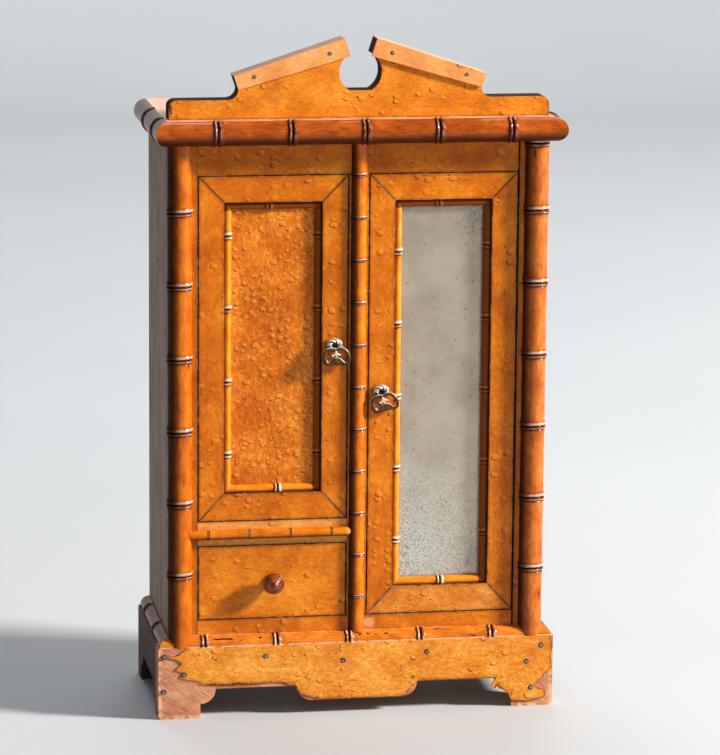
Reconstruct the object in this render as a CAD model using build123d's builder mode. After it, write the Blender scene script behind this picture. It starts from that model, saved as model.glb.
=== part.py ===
from build123d import *
import os

# Miniature faux-bamboo armoire that keeps a thimble collection behind two doors and in one drawer.
# Origin: bottom centre of the whole piece. X runs to the right, the doors face -Y, Z is up.

os.makedirs("parts", exist_ok=True)

# ---------------------------------------------------------------- driving dimensions (mm)
# Plinth
plinth_width = 293.0
plinth_depth = 130.2
plinth_height = 53.2
plinth_stock = 17.6
veneer = 0.7
ledge = 8.6  # step from the plinth's edge in to the case
roll_setback = 1.5  # bare edge in front of the quarter-round roll
foot_width = 30.8
side_foot = 19.0
arch_height = 22.0
skirt_ovolo = 11.3  # convex quarter-rounds at both ends of each arch
apron_width = 89.6  # lowered middle of the front skirt
foot_wear = 3.0  # rounding of the outer foot corners
corner_block = 15.0
block_drop = 14.0  # corner blocks stop this far above the floor
plinth_back_drop = 30.0

# Case
case_height = 368.0  # plinth top to the underside of the cornice board
side_thickness = 8.0
floor_thickness = 8.0
partition_thickness = 8.0
back_thickness = 5.0
divider_thickness = 6.0
shelf_thickness = 4.0
housing = 2.0  # depth of the grooves that hold shelves and floors
left_shelf_count = 5
right_shelf_count = 6
shelf_setback = 1.0  # shelf edge behind the closed doors, which stop against it

# Front frame
frame_stock = 12.0
left_strip = 4.4  # flat strip of the corner post beside the column
right_strip = 3.9
post_depth = 8.0
side_quirk = 2.0  # dark gap between a column and the side panel behind it
centre_stile_width = 14.6
bottom_rail_height = 18.6
drawer_rail_height = 18.0
drawer_opening = 55.2
frieze_height = 23.0
tenon_length = 3.0
tenon_thickness = 5.0

# Turned bamboo
column_radius = 8.8
column_setback = 0.2  # column behind the plinth's front
column_proud = 0.9  # column beyond the side panel
centre_column_radius = 5.95
centre_column_rise = 4.4  # how far it stands off the centre stile
rail_roll_radius = 3.3
rail_roll_height = 8.6  # axis above the lower edge of the drawer rail
ring_pitch = 53.2
small_ring_pitch = 31.1
rail_ring_pitch = 30.1
collar_radius = 1.7  # each ring is two round collars side by side
collar_rise = 0.6
collar_spacing = 3.6
column_collar_scale = 0.85
bead_collar_scale = 0.85
small_collar_scale = 0.4  # on the thin centre column and the drawer rail's roll

# Where the first ring of each rod lies
left_column_first_ring = 53.3  # above the plinth
right_column_first_ring = 51.2
right_cap_ring = 1.9  # last ring of the right column, below the cornice board
centre_column_first_ring = 33.4
cornice_first_ring = 44.4  # from the left end
plinth_first_ring = 34.4
rail_first_ring = 20.9  # from the left column's axis
cornice_side_first_ring = 31.0  # from the front
plinth_side_first_ring = 52.0

# Cornice and pediment
cornice_overhang = 10.7  # cornice roll in front of the plinth
cornice_side_overhang = 2.3  # cornice roll beyond the plinth at each side
cornice_thickness = 17.6
pediment_setback = 8.9  # from the front edge of the cornice board
pediment_end_setback = 2.3  # from the end of the cornice board
pediment_stock = 17.6
shoulder_height = 13.8
shoulder_round = 5.5
rake_outer_x = 91.2
rake_outer_height = 31.0  # above the cornice board
rake_inner_x = 11.9
rake_inner_height = 57.0
rake_outer_width = 10.3
rake_inner_width = 13.3
rake_stock = 2.2
notch_radius = 15.4
notch_centre_height = 32.9
notch_floor_height = 19.6

# Doors
door_gap = 0.7
door_end_gap = 0.5
left_hinge_gap = 0.7
door_thickness = 11.0
door_stile = 18.5
door_top_rail = 19.2
door_bottom_rail = 20.1
panel_recess = 4.6
panel_thickness = 3.6
panel_housing = 4.0
panel_play = 0.3
mirror_recess = 6.2
mirror_thickness = 2.2
bead_width = 5.4
bead_setback = 1.6  # crown of the beads behind the door's face
bead_ring_rise = 0.5
bead_ring_pitch = 53.4
left_door_bead_ring = 28.5  # first ring of each upright bead, above the opening's lower edge
mirror_lock_bead_ring = 34.5
mirror_hinge_bead_ring = 38.5
left_door_top_ring = -3.2  # rings of the short beads, to the side of the opening's middle
left_door_bottom_ring = 3.9
mirror_top_ring = -3.7
mirror_bottom_ring = 0.7
mitre_gap = 0.05
pin_radius = 1.0
pin_length = 5.0
pin_end_play = 0.5
pin_clearance = 0.05
pin_inset = 3.6  # from the hinge edge of the door
pin_depth = 1.9  # behind the door's face

# Drawer
drawer_gap = 0.4
drawer_front_stock = 10.0
drawer_stock = 5.0
drawer_bottom_stock = 3.0
drawer_bottom_raise = 3.0
drawer_box_height = 43.0
drawer_back_gap = 4.0
drawer_clearance = 0.3
guide_height = 8.0
knob_radius = 7.0
knob_neck = 2.9
knob_flange = 4.4
knob_flange_thickness = 1.4
knob_reach = 15.5
knob_tenon_radius = 2.5
knob_tenon = 7.0

# Pulls
left_pull_height = 125.3  # hinge of the drop above the lower edge of the left door
right_pull_height = 163.5
pull_standoff = 4.0
drop_thickness = 2.0
lobe_radius = 5.9
lobe_hole = 3.3
lobe_offset = 4.4
lobe_drop = 6.3
barrel_radius = 1.7
barrel_length = 3.4
drop_pin_radius = 0.7
drop_clearance = 0.06
cheek_gap = 0.15
cheek_thickness = 1.2
plate_radius = 5.9
plate_thickness = 1.4
knot_tube = 1.7
knot_rise = 2.3  # centre of the knot's arch above the drop's hinge
cheek_margin = 0.6  # metal round the drop's pin
lobe_relief = 2.4  # drop cleared round its pin beside the barrel
shank_radius = 1.5
shank_length = 8.0

# Nails: (side of centre, distance from that end of the plinth, depth below its top edge)
plinth_nails_at = [
    (-1, 4.2, 6.0),
    (-1, 18.8, 19.8),
    (-1, 3.8, 32.2),
    (-1, 78.8, 7.8),
    (-1, 136.0, 13.2),
    (1, 94.8, 8.8),
    (1, 20.0, 19.0),
    (1, 9.0, 7.0),
    (1, 16.4, 39.0),
]
nail_head_radius = 1.9
rake_nail_head_radius = 1.4
nail_head_rise = 0.3
nail_shank_radius = 0.7
nail_length = 14.0
rake_nail_inset = 13.5  # along the rake from each end of a strip
rake_nail_length = 9.0

# Broken left and right ends of the plinth's veneer: (distance from the end, depth below the top edge)
left_break = [
    (19.8, 0.0), (14.0, 5.6), (5.6, 6.4), (12.4, 8.2), (16.4, 12.2), (12.2, 15.6), (17.4, 18.4),
    (15.6, 22.2), (30.2, 25.4), (31.4, 28.0), (45.0, 27.0),
]
right_break = [(3.0, 0.0), (2.4, 16.0), (9.2, 26.4), (13.0, 33.6)]
veneer_foot_edge = 40.0  # depth of the veneer's broken lower edge on the right foot
veneer_lip = 1.0  # veneer kept back from the edge of the skirt

# ---------------------------------------------------------------- planes and limits
overall_depth = plinth_depth + cornice_overhang + collar_rise
back_y = overall_depth / 2
plinth_y = back_y - plinth_depth
face_y = plinth_y + ledge
frame_back_y = face_y + frame_stock
inner_back_y = back_y - back_thickness
half_plinth = plinth_width / 2
case_x = half_plinth - ledge
inner_x = case_x - side_thickness
half_partition = partition_thickness / 2
half_centre = centre_stile_width / 2

column_x = case_x + column_proud - column_radius
column_y = plinth_y + column_setback + column_radius
column_flat = 0.25  # flats where the round column is glued to its post
post_side_x = column_x - column_radius + column_flat
post_back_y = column_y + column_radius - column_flat
post_end_y = post_back_y + post_depth
left_post_x = -(column_x - column_radius - left_strip)
right_post_x = column_x - column_radius - right_strip

door_inner_x = half_centre + door_gap
left_door_x = left_post_x + left_hinge_gap
door_width = -left_door_x - door_inner_x
right_door_x = door_inner_x + door_width
door_back_y = face_y + door_thickness
shelf_y = door_back_y + shelf_setback

floor_top = plinth_height + bottom_rail_height
divider_bottom = floor_top + drawer_opening
divider_top = divider_bottom + drawer_rail_height
case_top = plinth_height + case_height
frieze_bottom = case_top - frieze_height
left_door_bottom = divider_top + door_end_gap
right_door_bottom = floor_top + door_end_gap
door_top = frieze_bottom - door_end_gap

cornice_width = plinth_width + 2 * cornice_side_overhang
cornice_radius = cornice_thickness / 2
board_x = cornice_width / 2 - cornice_radius
cornice_front_y = plinth_y - cornice_overhang
board_y = cornice_front_y + cornice_radius
board_top = case_top + cornice_thickness
pediment_y = board_y + pediment_setback
half_pediment = board_x - pediment_end_setback

plinth_roll_radius = ledge - roll_setback


# ---------------------------------------------------------------- shared shapes
def board(x_span, y_span, z_span, mode=Mode.ADD):
    """Adds a plain board between (low, high) limits on each axis to the part being built."""
    spans = (x_span, y_span, z_span)
    middle = tuple((low + high) / 2 for low, high in spans)
    size = tuple(high - low for low, high in spans)
    with Locations(middle):
        Box(*size, mode=mode)


def peg(centre, radius, length, direction, mode=Mode.ADD):
    """Adds a round peg that starts at centre and runs along direction."""
    with Locations(Plane(origin=centre, z_dir=direction)):
        Cylinder(radius, length, align=(Align.CENTER, Align.CENTER, Align.MIN), mode=mode)


def ring_places(first, pitch, end):
    """Returns the distances of the rings along a rod that ends at the given length."""
    places = []
    place = first
    while place < end:
        places.append(place)
        place += pitch
    return places


def bamboo(length, radius, rings, scale=1.0, rise=collar_rise):
    """Returns a turned rod along +Z from the origin, with a pair of round collars at each ring."""
    collar = collar_radius * scale
    gap = collar_spacing * scale
    with BuildPart() as rod:
        with BuildSketch(Plane.XZ):
            Rectangle(radius, length, align=(Align.MIN, Align.MIN))
            for ring in rings:
                with Locations((radius + rise - collar, ring - gap / 2), (radius + rise - collar, ring + gap / 2)):
                    Circle(collar)
            Rectangle(2 * radius, length, align=(Align.MIN, Align.MIN), mode=Mode.INTERSECT)
        revolve(axis=Axis.Z)
    return rod.part


def laid_along_x(rod, start, y, z):
    """Returns a rod turned to run along +X from start."""
    return Plane(origin=(start, y, z), x_dir=(0, 0, 1), z_dir=(1, 0, 0)) * rod


def laid_along_y(rod, x, start, z):
    """Returns a rod turned to run along +Y from start."""
    return Plane(origin=(x, start, z), x_dir=(0, 0, 1), z_dir=(0, 1, 0)) * rod


def quarter_bow(start, centre, end):
    """Draws the quarter circle from start to end about centre in the line being built."""
    diagonal = 0.5**0.5
    middle = tuple(c + diagonal * (a + b - 2 * c) for a, b, c in zip(start, end, centre))
    return ThreePointArc(start, middle, end)


# ---------------------------------------------------------------- plinth
with BuildSketch(Plane.XZ.offset(-plinth_y)) as skirt_cut:
    foot_x = half_plinth - foot_width
    apron_x = apron_width / 2
    ovolo_foot = arch_height - skirt_ovolo
    with BuildLine():
        Line((0, 0), (foot_x, 0))
        Line((foot_x, 0), (foot_x, ovolo_foot))
        quarter_bow((foot_x, ovolo_foot), (foot_x, arch_height), (foot_x - skirt_ovolo, arch_height))
        Line((foot_x - skirt_ovolo, arch_height), (apron_x, arch_height))
        quarter_bow((apron_x, arch_height), (apron_x - skirt_ovolo, arch_height), (apron_x - skirt_ovolo, ovolo_foot))
        Line((apron_x - skirt_ovolo, ovolo_foot), (0, ovolo_foot))
        Line((0, ovolo_foot), (0, 0))
    make_face()
    mirror(about=Plane.YZ)


def plinth_nail_spots():
    """Returns the x and z of each nail in the plinth's front."""
    return [(side * (half_plinth - inset), plinth_height - drop) for side, inset, drop in plinth_nails_at]


with BuildPart() as plinth_front:
    board((-half_plinth, half_plinth), (plinth_y + veneer, plinth_y + plinth_stock), (0, plinth_height))
    extrude(skirt_cut.sketch, amount=-plinth_stock, mode=Mode.SUBTRACT)
    foot_corners = plinth_front.edges().filter_by(Axis.Y).group_by(Axis.Z)[0]
    fillet([foot_corners.sort_by(Axis.X)[0], foot_corners.sort_by(Axis.X)[-1]], radius=foot_wear)
    for x, z in plinth_nail_spots():
        peg((x, plinth_y + veneer, z), nail_shank_radius, nail_length, (0, 1, 0), Mode.SUBTRACT)
plinth_front.part.label = "plinth_front"
export_step(plinth_front.part, "parts/plinth_front.step")

with BuildPart() as plinth_front_veneer:
    board((-half_plinth, half_plinth), (plinth_y, plinth_y + veneer), (0, plinth_height))
    extrude(skirt_cut.sketch, amount=-plinth_stock, mode=Mode.SUBTRACT)
    with BuildSketch(Plane.XZ.offset(-plinth_y)):
        with BuildLine():
            left_edge = [(-half_plinth + inset, plinth_height - drop) for inset, drop in left_break]
            apron_end = (-apron_x, arch_height + veneer_lip)
            Polyline(left_edge + [apron_end, (-apron_x, 0), (-half_plinth, 0), (-half_plinth, plinth_height)], close=True)
        make_face()
        with BuildLine():
            right_edge = [(half_plinth - inset, plinth_height - drop) for inset, drop in right_break]
            foot_edge = (foot_x, plinth_height - veneer_foot_edge)
            Polyline(right_edge + [foot_edge, (foot_x, 0), (half_plinth, 0), (half_plinth, plinth_height)], close=True)
        make_face()
    extrude(amount=-veneer, mode=Mode.SUBTRACT)
    for x, z in plinth_nail_spots():
        peg((x, plinth_y, z), nail_head_radius, veneer, (0, 1, 0), Mode.SUBTRACT)
plinth_front_veneer.part.label = "plinth_front_veneer"
export_step(plinth_front_veneer.part, "parts/plinth_front_veneer.step")

side_front_y = plinth_y + plinth_stock
side_arch_start = plinth_y + side_foot
side_arch_end = back_y - side_foot
with BuildPart() as plinth_left:
    board((-half_plinth, -half_plinth + plinth_stock), (side_front_y, back_y), (0, plinth_height))
    with BuildSketch(Plane.YZ.offset(-half_plinth)):
        with BuildLine():
            Line((side_arch_start, 0), (side_arch_start, ovolo_foot))
            quarter_bow(
                (side_arch_start, ovolo_foot), (side_arch_start, arch_height),
                (side_arch_start + skirt_ovolo, arch_height),
            )
            Line((side_arch_start + skirt_ovolo, arch_height), (side_arch_end - skirt_ovolo, arch_height))
            quarter_bow(
                (side_arch_end - skirt_ovolo, arch_height), (side_arch_end, arch_height), (side_arch_end, ovolo_foot)
            )
            Line((side_arch_end, ovolo_foot), (side_arch_end, 0))
            Line((side_arch_end, 0), (side_arch_start, 0))
        make_face()
    extrude(amount=plinth_stock, mode=Mode.SUBTRACT)
plinth_left.part.label = "plinth_left"
export_step(plinth_left.part, "parts/plinth_left.step")

with BuildPart() as plinth_right:
    mirror(plinth_left.part, about=Plane.YZ)
plinth_right.part.label = "plinth_right"
export_step(plinth_right.part, "parts/plinth_right.step")

plinth_inner_x = half_plinth - plinth_stock
with BuildPart() as plinth_back:
    board((-plinth_inner_x, plinth_inner_x), (back_y - plinth_stock, back_y), (plinth_back_drop, plinth_height))
plinth_back.part.label = "plinth_back"
export_step(plinth_back.part, "parts/plinth_back.step")

with BuildPart() as plinth_corner_blocks:
    for side in (-1, 1):
        for start in (side_front_y, back_y - plinth_stock - corner_block):
            outer = side * plinth_inner_x
            inner = side * (plinth_inner_x - corner_block)
            board((min(outer, inner), max(outer, inner)), (start, start + corner_block), (block_drop, plinth_height))
plinth_corner_blocks.part.label = "plinth_corner_blocks"
export_step(plinth_corner_blocks.part, "parts/plinth_corner_blocks.step")

# ---------------------------------------------------------------- case
left_bay_height = case_top - divider_top
right_bay_height = case_top - floor_top
floor_span = (floor_top - floor_thickness, floor_top)
divider_span = (divider_top - divider_thickness, divider_top)
partition_side = half_partition - housing  # bottom of the grooves in the partition


def shelf_levels(bottom, height, count):
    """Returns the underside of each shelf where count shelves share a bay evenly."""
    clear = (height - count * shelf_thickness) / (count + 1)
    return [bottom + clear + step * (clear + shelf_thickness) for step in range(count)]


def notched_board(front_span, full_span, front_y, z_span):
    """Adds a floor or shelf that is notched round the corner posts."""
    board(front_span, (front_y, post_end_y), z_span)
    board(full_span, (post_end_y, inner_back_y), z_span)


left_levels = shelf_levels(divider_top, left_bay_height, left_shelf_count)
right_levels = shelf_levels(floor_top, right_bay_height, right_shelf_count)

with BuildPart() as bottom_board:
    notched_board((left_post_x, right_post_x), (-inner_x - housing, inner_x + housing), frame_back_y, floor_span)
bottom_board.part.label = "bottom_board"
export_step(bottom_board.part, "parts/bottom_board.step")

with BuildPart() as left_shelves:
    for level in left_levels:
        shelf_span = (level, level + shelf_thickness)
        notched_board((left_post_x, -half_partition), (-inner_x - housing, -partition_side), shelf_y, shelf_span)
left_shelves.part.label = "left_shelves"
export_step(left_shelves.part, "parts/left_shelves.step")

with BuildPart() as right_shelves:
    for level in right_levels:
        shelf_span = (level, level + shelf_thickness)
        notched_board((half_partition, right_post_x), (partition_side, inner_x + housing), shelf_y, shelf_span)
right_shelves.part.label = "right_shelves"
export_step(right_shelves.part, "parts/right_shelves.step")

rail_tenon_y = (frame_back_y - frame_stock / 2 - tenon_thickness / 2, frame_back_y - frame_stock / 2 + tenon_thickness / 2)
door_pin_left_x = left_door_x + pin_inset
door_pin_right_x = right_door_x - pin_inset
door_pin_y = face_y + pin_depth
left_pin_ends = (divider_top, frieze_bottom)
right_pin_ends = (floor_top, frieze_bottom)


def pin_seats(spots, depth_down):
    """Drills the seats of door pins into the rail being built; depth_down is -1 for seats that go down."""
    for x, z in spots:
        peg((x, door_pin_y, z), pin_radius, pin_length, (0, 0, depth_down), Mode.SUBTRACT)


with BuildPart() as frieze_rail:
    board((left_post_x, right_door_x), (face_y, frame_back_y), (frieze_bottom, case_top))
    board((left_post_x - tenon_length, right_post_x + tenon_length), rail_tenon_y, (frieze_bottom, case_top))
    pin_seats([(door_pin_left_x, frieze_bottom), (door_pin_right_x, frieze_bottom)], 1)
frieze_rail.part.label = "frieze_rail"
export_step(frieze_rail.part, "parts/frieze_rail.step")

with BuildPart() as bottom_rail:
    board((left_post_x, right_door_x), (face_y, frame_back_y), (plinth_height, floor_top))
    board((left_post_x - tenon_length, right_post_x + tenon_length), rail_tenon_y, (plinth_height, floor_top))
    pin_seats([(door_pin_right_x, floor_top)], -1)
bottom_rail.part.label = "bottom_rail"
export_step(bottom_rail.part, "parts/bottom_rail.step")

with BuildPart() as drawer_divider:
    board((left_post_x, -half_centre), (face_y, frame_back_y), (divider_bottom, divider_top))
    board((left_post_x - tenon_length, -half_centre + tenon_length), rail_tenon_y, (divider_bottom, divider_top))
    board((left_post_x, -half_partition), (frame_back_y, post_end_y), divider_span)
    board((-inner_x - housing, -partition_side), (post_end_y, inner_back_y), divider_span)
    pin_seats([(door_pin_left_x, divider_top)], -1)
drawer_divider.part.label = "drawer_divider"
export_step(drawer_divider.part, "parts/drawer_divider.step")

with BuildPart() as centre_stile:
    board((-half_centre, half_centre), (face_y, frame_back_y), (floor_top, frieze_bottom))
    add(drawer_divider.part, mode=Mode.SUBTRACT)
centre_stile.part.label = "centre_stile"
export_step(centre_stile.part, "parts/centre_stile.step")

with BuildPart() as centre_partition:
    board((-half_partition, half_partition), (frame_back_y, inner_back_y), (floor_top, case_top))
    for neighbour in (left_shelves, right_shelves, drawer_divider):
        add(neighbour.part, mode=Mode.SUBTRACT)
centre_partition.part.label = "centre_partition"
export_step(centre_partition.part, "parts/centre_partition.step")

with BuildPart() as left_stile:
    board((-post_side_x, left_post_x), (face_y, post_back_y), (plinth_height, case_top))
    board((-inner_x, left_post_x), (post_back_y, post_end_y), (plinth_height, case_top))
    for rail in (frieze_rail, bottom_rail, drawer_divider):
        add(rail.part, mode=Mode.SUBTRACT)
left_stile.part.label = "left_stile"
export_step(left_stile.part, "parts/left_stile.step")

with BuildPart() as right_stile:
    board((right_post_x, post_side_x), (face_y, post_back_y), (plinth_height, case_top))
    board((right_post_x, inner_x), (post_back_y, post_end_y), (plinth_height, case_top))
    for rail in (frieze_rail, bottom_rail):
        add(rail.part, mode=Mode.SUBTRACT)
right_stile.part.label = "right_stile"
export_step(right_stile.part, "parts/right_stile.step")

with BuildPart() as left_side_panel:
    board((-case_x, -inner_x), (post_back_y + side_quirk, back_y), (plinth_height, case_top))
    for neighbour in (bottom_board, left_shelves, drawer_divider):
        add(neighbour.part, mode=Mode.SUBTRACT)
left_side_panel.part.label = "left_side_panel"
export_step(left_side_panel.part, "parts/left_side_panel.step")

with BuildPart() as right_side_panel:
    board((inner_x, case_x), (post_back_y + side_quirk, back_y), (plinth_height, case_top))
    for neighbour in (bottom_board, right_shelves):
        add(neighbour.part, mode=Mode.SUBTRACT)
right_side_panel.part.label = "right_side_panel"
export_step(right_side_panel.part, "parts/right_side_panel.step")

with BuildPart() as back_panel:
    board((-inner_x, inner_x), (inner_back_y, back_y), (plinth_height, case_top))
back_panel.part.label = "back_panel"
export_step(back_panel.part, "parts/back_panel.step")

with BuildPart() as door_pivot_pins:
    for x, ends in ((door_pin_left_x, left_pin_ends), (door_pin_right_x, right_pin_ends)):
        lower, upper = ends
        peg((x, door_pin_y, lower - pin_length), pin_radius, 2 * pin_length + door_end_gap, (0, 0, 1))
        peg((x, door_pin_y, upper + pin_length), pin_radius, 2 * pin_length + door_end_gap, (0, 0, -1))
door_pivot_pins.part.label = "door_pivot_pins"
export_step(door_pivot_pins.part, "parts/door_pivot_pins.step")

with BuildPart() as drawer_guides:
    guide_y = (post_end_y, inner_back_y)
    guide_z = (floor_top, floor_top + guide_height)
    board((-inner_x, left_door_x - drawer_clearance), guide_y, guide_z)
    board((-door_inner_x + drawer_clearance, -half_partition), guide_y, guide_z)
drawer_guides.part.label = "drawer_guides"
export_step(drawer_guides.part, "parts/drawer_guides.step")

# ---------------------------------------------------------------- turned bamboo on the case
def column(x, first_ring, extra_rings, neighbours):
    """Adds a corner column, flattened where it is glued to its neighbours."""
    rings = ring_places(first_ring, ring_pitch, case_height) + extra_rings
    add(Pos(x, column_y, plinth_height) * bamboo(case_height, column_radius, rings, column_collar_scale))
    for neighbour in neighbours:
        add(neighbour.part, mode=Mode.SUBTRACT)


with BuildPart() as left_column:
    column(-column_x, left_column_first_ring, [], (left_stile, left_side_panel))
left_column.part.label = "left_column"
export_step(left_column.part, "parts/left_column.step")

with BuildPart() as right_column:
    column(column_x, right_column_first_ring, [case_height - right_cap_ring], (right_stile, right_side_panel))
right_column.part.label = "right_column"
export_step(right_column.part, "parts/right_column.step")

mitre_right = Plane(origin=(half_plinth, plinth_y, 0), z_dir=(1, 1, 0))
mitre_left = Plane(origin=(-half_plinth, plinth_y, 0), z_dir=(-1, 1, 0))

with BuildPart() as plinth_roll_front:
    rings = ring_places(plinth_first_ring, ring_pitch, plinth_width)
    add(laid_along_x(bamboo(plinth_width, plinth_roll_radius, rings), -half_plinth, face_y, plinth_height))
    split(bisect_by=Plane.XZ.offset(-face_y), keep=Keep.TOP)
    split(bisect_by=Plane.XY.offset(plinth_height), keep=Keep.TOP)
    split(bisect_by=mitre_right, keep=Keep.BOTTOM)
    split(bisect_by=mitre_left, keep=Keep.BOTTOM)
    add(left_column.part, mode=Mode.SUBTRACT)
    add(right_column.part, mode=Mode.SUBTRACT)
plinth_roll_front.part.label = "plinth_roll_front"
export_step(plinth_roll_front.part, "parts/plinth_roll_front.step")

with BuildPart() as plinth_roll_right:
    rings = ring_places(plinth_side_first_ring, ring_pitch, plinth_depth)
    add(laid_along_y(bamboo(plinth_depth, plinth_roll_radius, rings), case_x, plinth_y, plinth_height))
    split(bisect_by=Plane.YZ.offset(case_x), keep=Keep.TOP)
    split(bisect_by=Plane.XY.offset(plinth_height), keep=Keep.TOP)
    split(bisect_by=mitre_right, keep=Keep.TOP)
    add(right_column.part, mode=Mode.SUBTRACT)
plinth_roll_right.part.label = "plinth_roll_right"
export_step(plinth_roll_right.part, "parts/plinth_roll_right.step")

with BuildPart() as plinth_roll_left:
    mirror(plinth_roll_right.part, about=Plane.YZ)
plinth_roll_left.part.label = "plinth_roll_left"
export_step(plinth_roll_left.part, "parts/plinth_roll_left.step")

with BuildPart() as centre_column:
    rings = ring_places(centre_column_first_ring, small_ring_pitch, case_height)
    rod = bamboo(case_height, centre_column_radius, rings, small_collar_scale)
    add(Pos(0, face_y + centre_column_radius - centre_column_rise, plinth_height) * rod)
    split(bisect_by=Plane.XZ.offset(-face_y), keep=Keep.TOP)
    add(plinth_roll_front.part, mode=Mode.SUBTRACT)
centre_column.part.label = "centre_column"
export_step(centre_column.part, "parts/centre_column.step")

with BuildPart() as drawer_rail_roll:
    rings = ring_places(rail_first_ring, rail_ring_pitch, column_x)
    rod = bamboo(column_x, rail_roll_radius, rings, small_collar_scale)
    add(laid_along_x(rod, -column_x, face_y, divider_bottom + rail_roll_height))
    split(bisect_by=Plane.XZ.offset(-face_y), keep=Keep.TOP)
    add(left_column.part, mode=Mode.SUBTRACT)
    add(centre_column.part, mode=Mode.SUBTRACT)
drawer_rail_roll.part.label = "drawer_rail_roll"
export_step(drawer_rail_roll.part, "parts/drawer_rail_roll.step")

# ---------------------------------------------------------------- cornice and pediment
with BuildPart() as top_board:
    board((-board_x, board_x), (board_y, back_y), (case_top, board_top))
top_board.part.label = "top_board"
export_step(top_board.part, "parts/top_board.step")

cornice_axis_z = case_top + cornice_radius
cornice_mitre_right = Plane(origin=(board_x, board_y, 0), z_dir=(1, 1, 0))
cornice_mitre_left = Plane(origin=(-board_x, board_y, 0), z_dir=(-1, 1, 0))

with BuildPart() as cornice_roll_front:
    rings = ring_places(cornice_first_ring, ring_pitch, cornice_width)
    add(laid_along_x(bamboo(cornice_width, cornice_radius, rings), -cornice_width / 2, board_y, cornice_axis_z))
    split(bisect_by=Plane.XZ.offset(-board_y), keep=Keep.TOP)
    split(bisect_by=cornice_mitre_right, keep=Keep.BOTTOM)
    split(bisect_by=cornice_mitre_left, keep=Keep.BOTTOM)
cornice_roll_front.part.label = "cornice_roll_front"
export_step(cornice_roll_front.part, "parts/cornice_roll_front.step")

with BuildPart() as cornice_roll_right:
    cornice_depth = back_y - cornice_front_y
    rings = ring_places(cornice_side_first_ring, ring_pitch, cornice_depth)
    add(laid_along_y(bamboo(cornice_depth, cornice_radius, rings), board_x, cornice_front_y, cornice_axis_z))
    split(bisect_by=Plane.YZ.offset(board_x), keep=Keep.TOP)
    split(bisect_by=cornice_mitre_right, keep=Keep.TOP)
cornice_roll_right.part.label = "cornice_roll_right"
export_step(cornice_roll_right.part, "parts/cornice_roll_right.step")

with BuildPart() as cornice_roll_left:
    mirror(cornice_roll_right.part, about=Plane.YZ)
cornice_roll_left.part.label = "cornice_roll_left"
export_step(cornice_roll_left.part, "parts/cornice_roll_left.step")

# Corners of the right rake strip, as x and height; the left one is its mirror image
rake_top_outer = Vector(rake_outer_x, board_top + rake_outer_height)
rake_top_inner = Vector(rake_inner_x, board_top + rake_inner_height)
rake_along = (rake_top_inner - rake_top_outer).normalized()
rake_down = Vector(-rake_along.Y, rake_along.X)
rake_low_outer = rake_top_outer + rake_down * rake_outer_width
rake_low_inner = rake_top_inner + rake_down * rake_inner_width

rake_nail_spots = []
for corner, heading, width in (
    (rake_top_outer, rake_along, rake_outer_width),
    (rake_top_inner, -rake_along, rake_inner_width),
):
    spot = corner + heading * rake_nail_inset + rake_down * (width / 2)
    rake_nail_spots += [(spot.X, spot.Y), (-spot.X, spot.Y)]

shoulder_z = board_top + shoulder_height
cove_radius = rake_low_outer.Y - shoulder_z
cove_x = rake_low_outer.X + cove_radius
round_x = half_pediment - shoulder_round
round_z = shoulder_z - shoulder_round
pediment_plane = Plane.XZ.offset(-pediment_y)
rake_plane = Plane.XZ.offset(rake_stock - pediment_y)

with BuildPart() as pediment_board:
    with BuildSketch(pediment_plane):
        with BuildLine():
            Line((0, board_top), (half_pediment, board_top))
            Line((half_pediment, board_top), (half_pediment, round_z))
            quarter_bow((half_pediment, round_z), (round_x, round_z), (round_x, shoulder_z))
            Line((round_x, shoulder_z), (cove_x, shoulder_z))
            quarter_bow((cove_x, shoulder_z), (cove_x, rake_low_outer.Y), (rake_low_outer.X, rake_low_outer.Y))
            Polyline(rake_low_outer, rake_top_outer, rake_top_inner, rake_low_inner, (0, rake_low_inner.Y))
            Line((0, rake_low_inner.Y), (0, board_top))
        make_face()
        mirror(about=Plane.YZ)
    extrude(amount=-pediment_stock)
    with BuildSketch(pediment_plane):
        with Locations((0, board_top + notch_centre_height)):
            Circle(notch_radius)
        with Locations((0, board_top + notch_floor_height)):
            Rectangle(2 * notch_radius, 2 * notch_radius, align=(Align.CENTER, Align.MIN), mode=Mode.INTERSECT)
    extrude(amount=-pediment_stock, mode=Mode.SUBTRACT)
    for x, z in rake_nail_spots:
        peg((x, pediment_y, z), nail_shank_radius, rake_nail_length, (0, 1, 0), Mode.SUBTRACT)
pediment_board.part.label = "pediment_board"
export_step(pediment_board.part, "parts/pediment_board.step")

with BuildPart() as pediment_rake_right:
    with BuildSketch(rake_plane):
        with BuildLine():
            Polyline(rake_low_outer, rake_top_outer, rake_top_inner, rake_low_inner, close=True)
        make_face()
    extrude(amount=-rake_stock)
    for x, z in rake_nail_spots:
        peg((x, pediment_y - rake_stock, z), nail_shank_radius, rake_stock, (0, 1, 0), Mode.SUBTRACT)
        peg((x, pediment_y - rake_stock, z), rake_nail_head_radius, veneer, (0, 1, 0), Mode.SUBTRACT)
pediment_rake_right.part.label = "pediment_rake_right"
export_step(pediment_rake_right.part, "parts/pediment_rake_right.step")

with BuildPart() as pediment_rake_left:
    mirror(pediment_rake_right.part, about=Plane.YZ)
pediment_rake_left.part.label = "pediment_rake_left"
export_step(pediment_rake_left.part, "parts/pediment_rake_left.step")


def nail(x, front_y, z, head_radius, shank_length):
    """Adds a nail with its head sunk to the depth of the veneer and its shank behind it."""
    peg((x, front_y - nail_head_rise, z), head_radius, nail_head_rise + veneer, (0, 1, 0))
    peg((x, front_y + veneer, z), nail_shank_radius, shank_length - veneer, (0, 1, 0))


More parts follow.
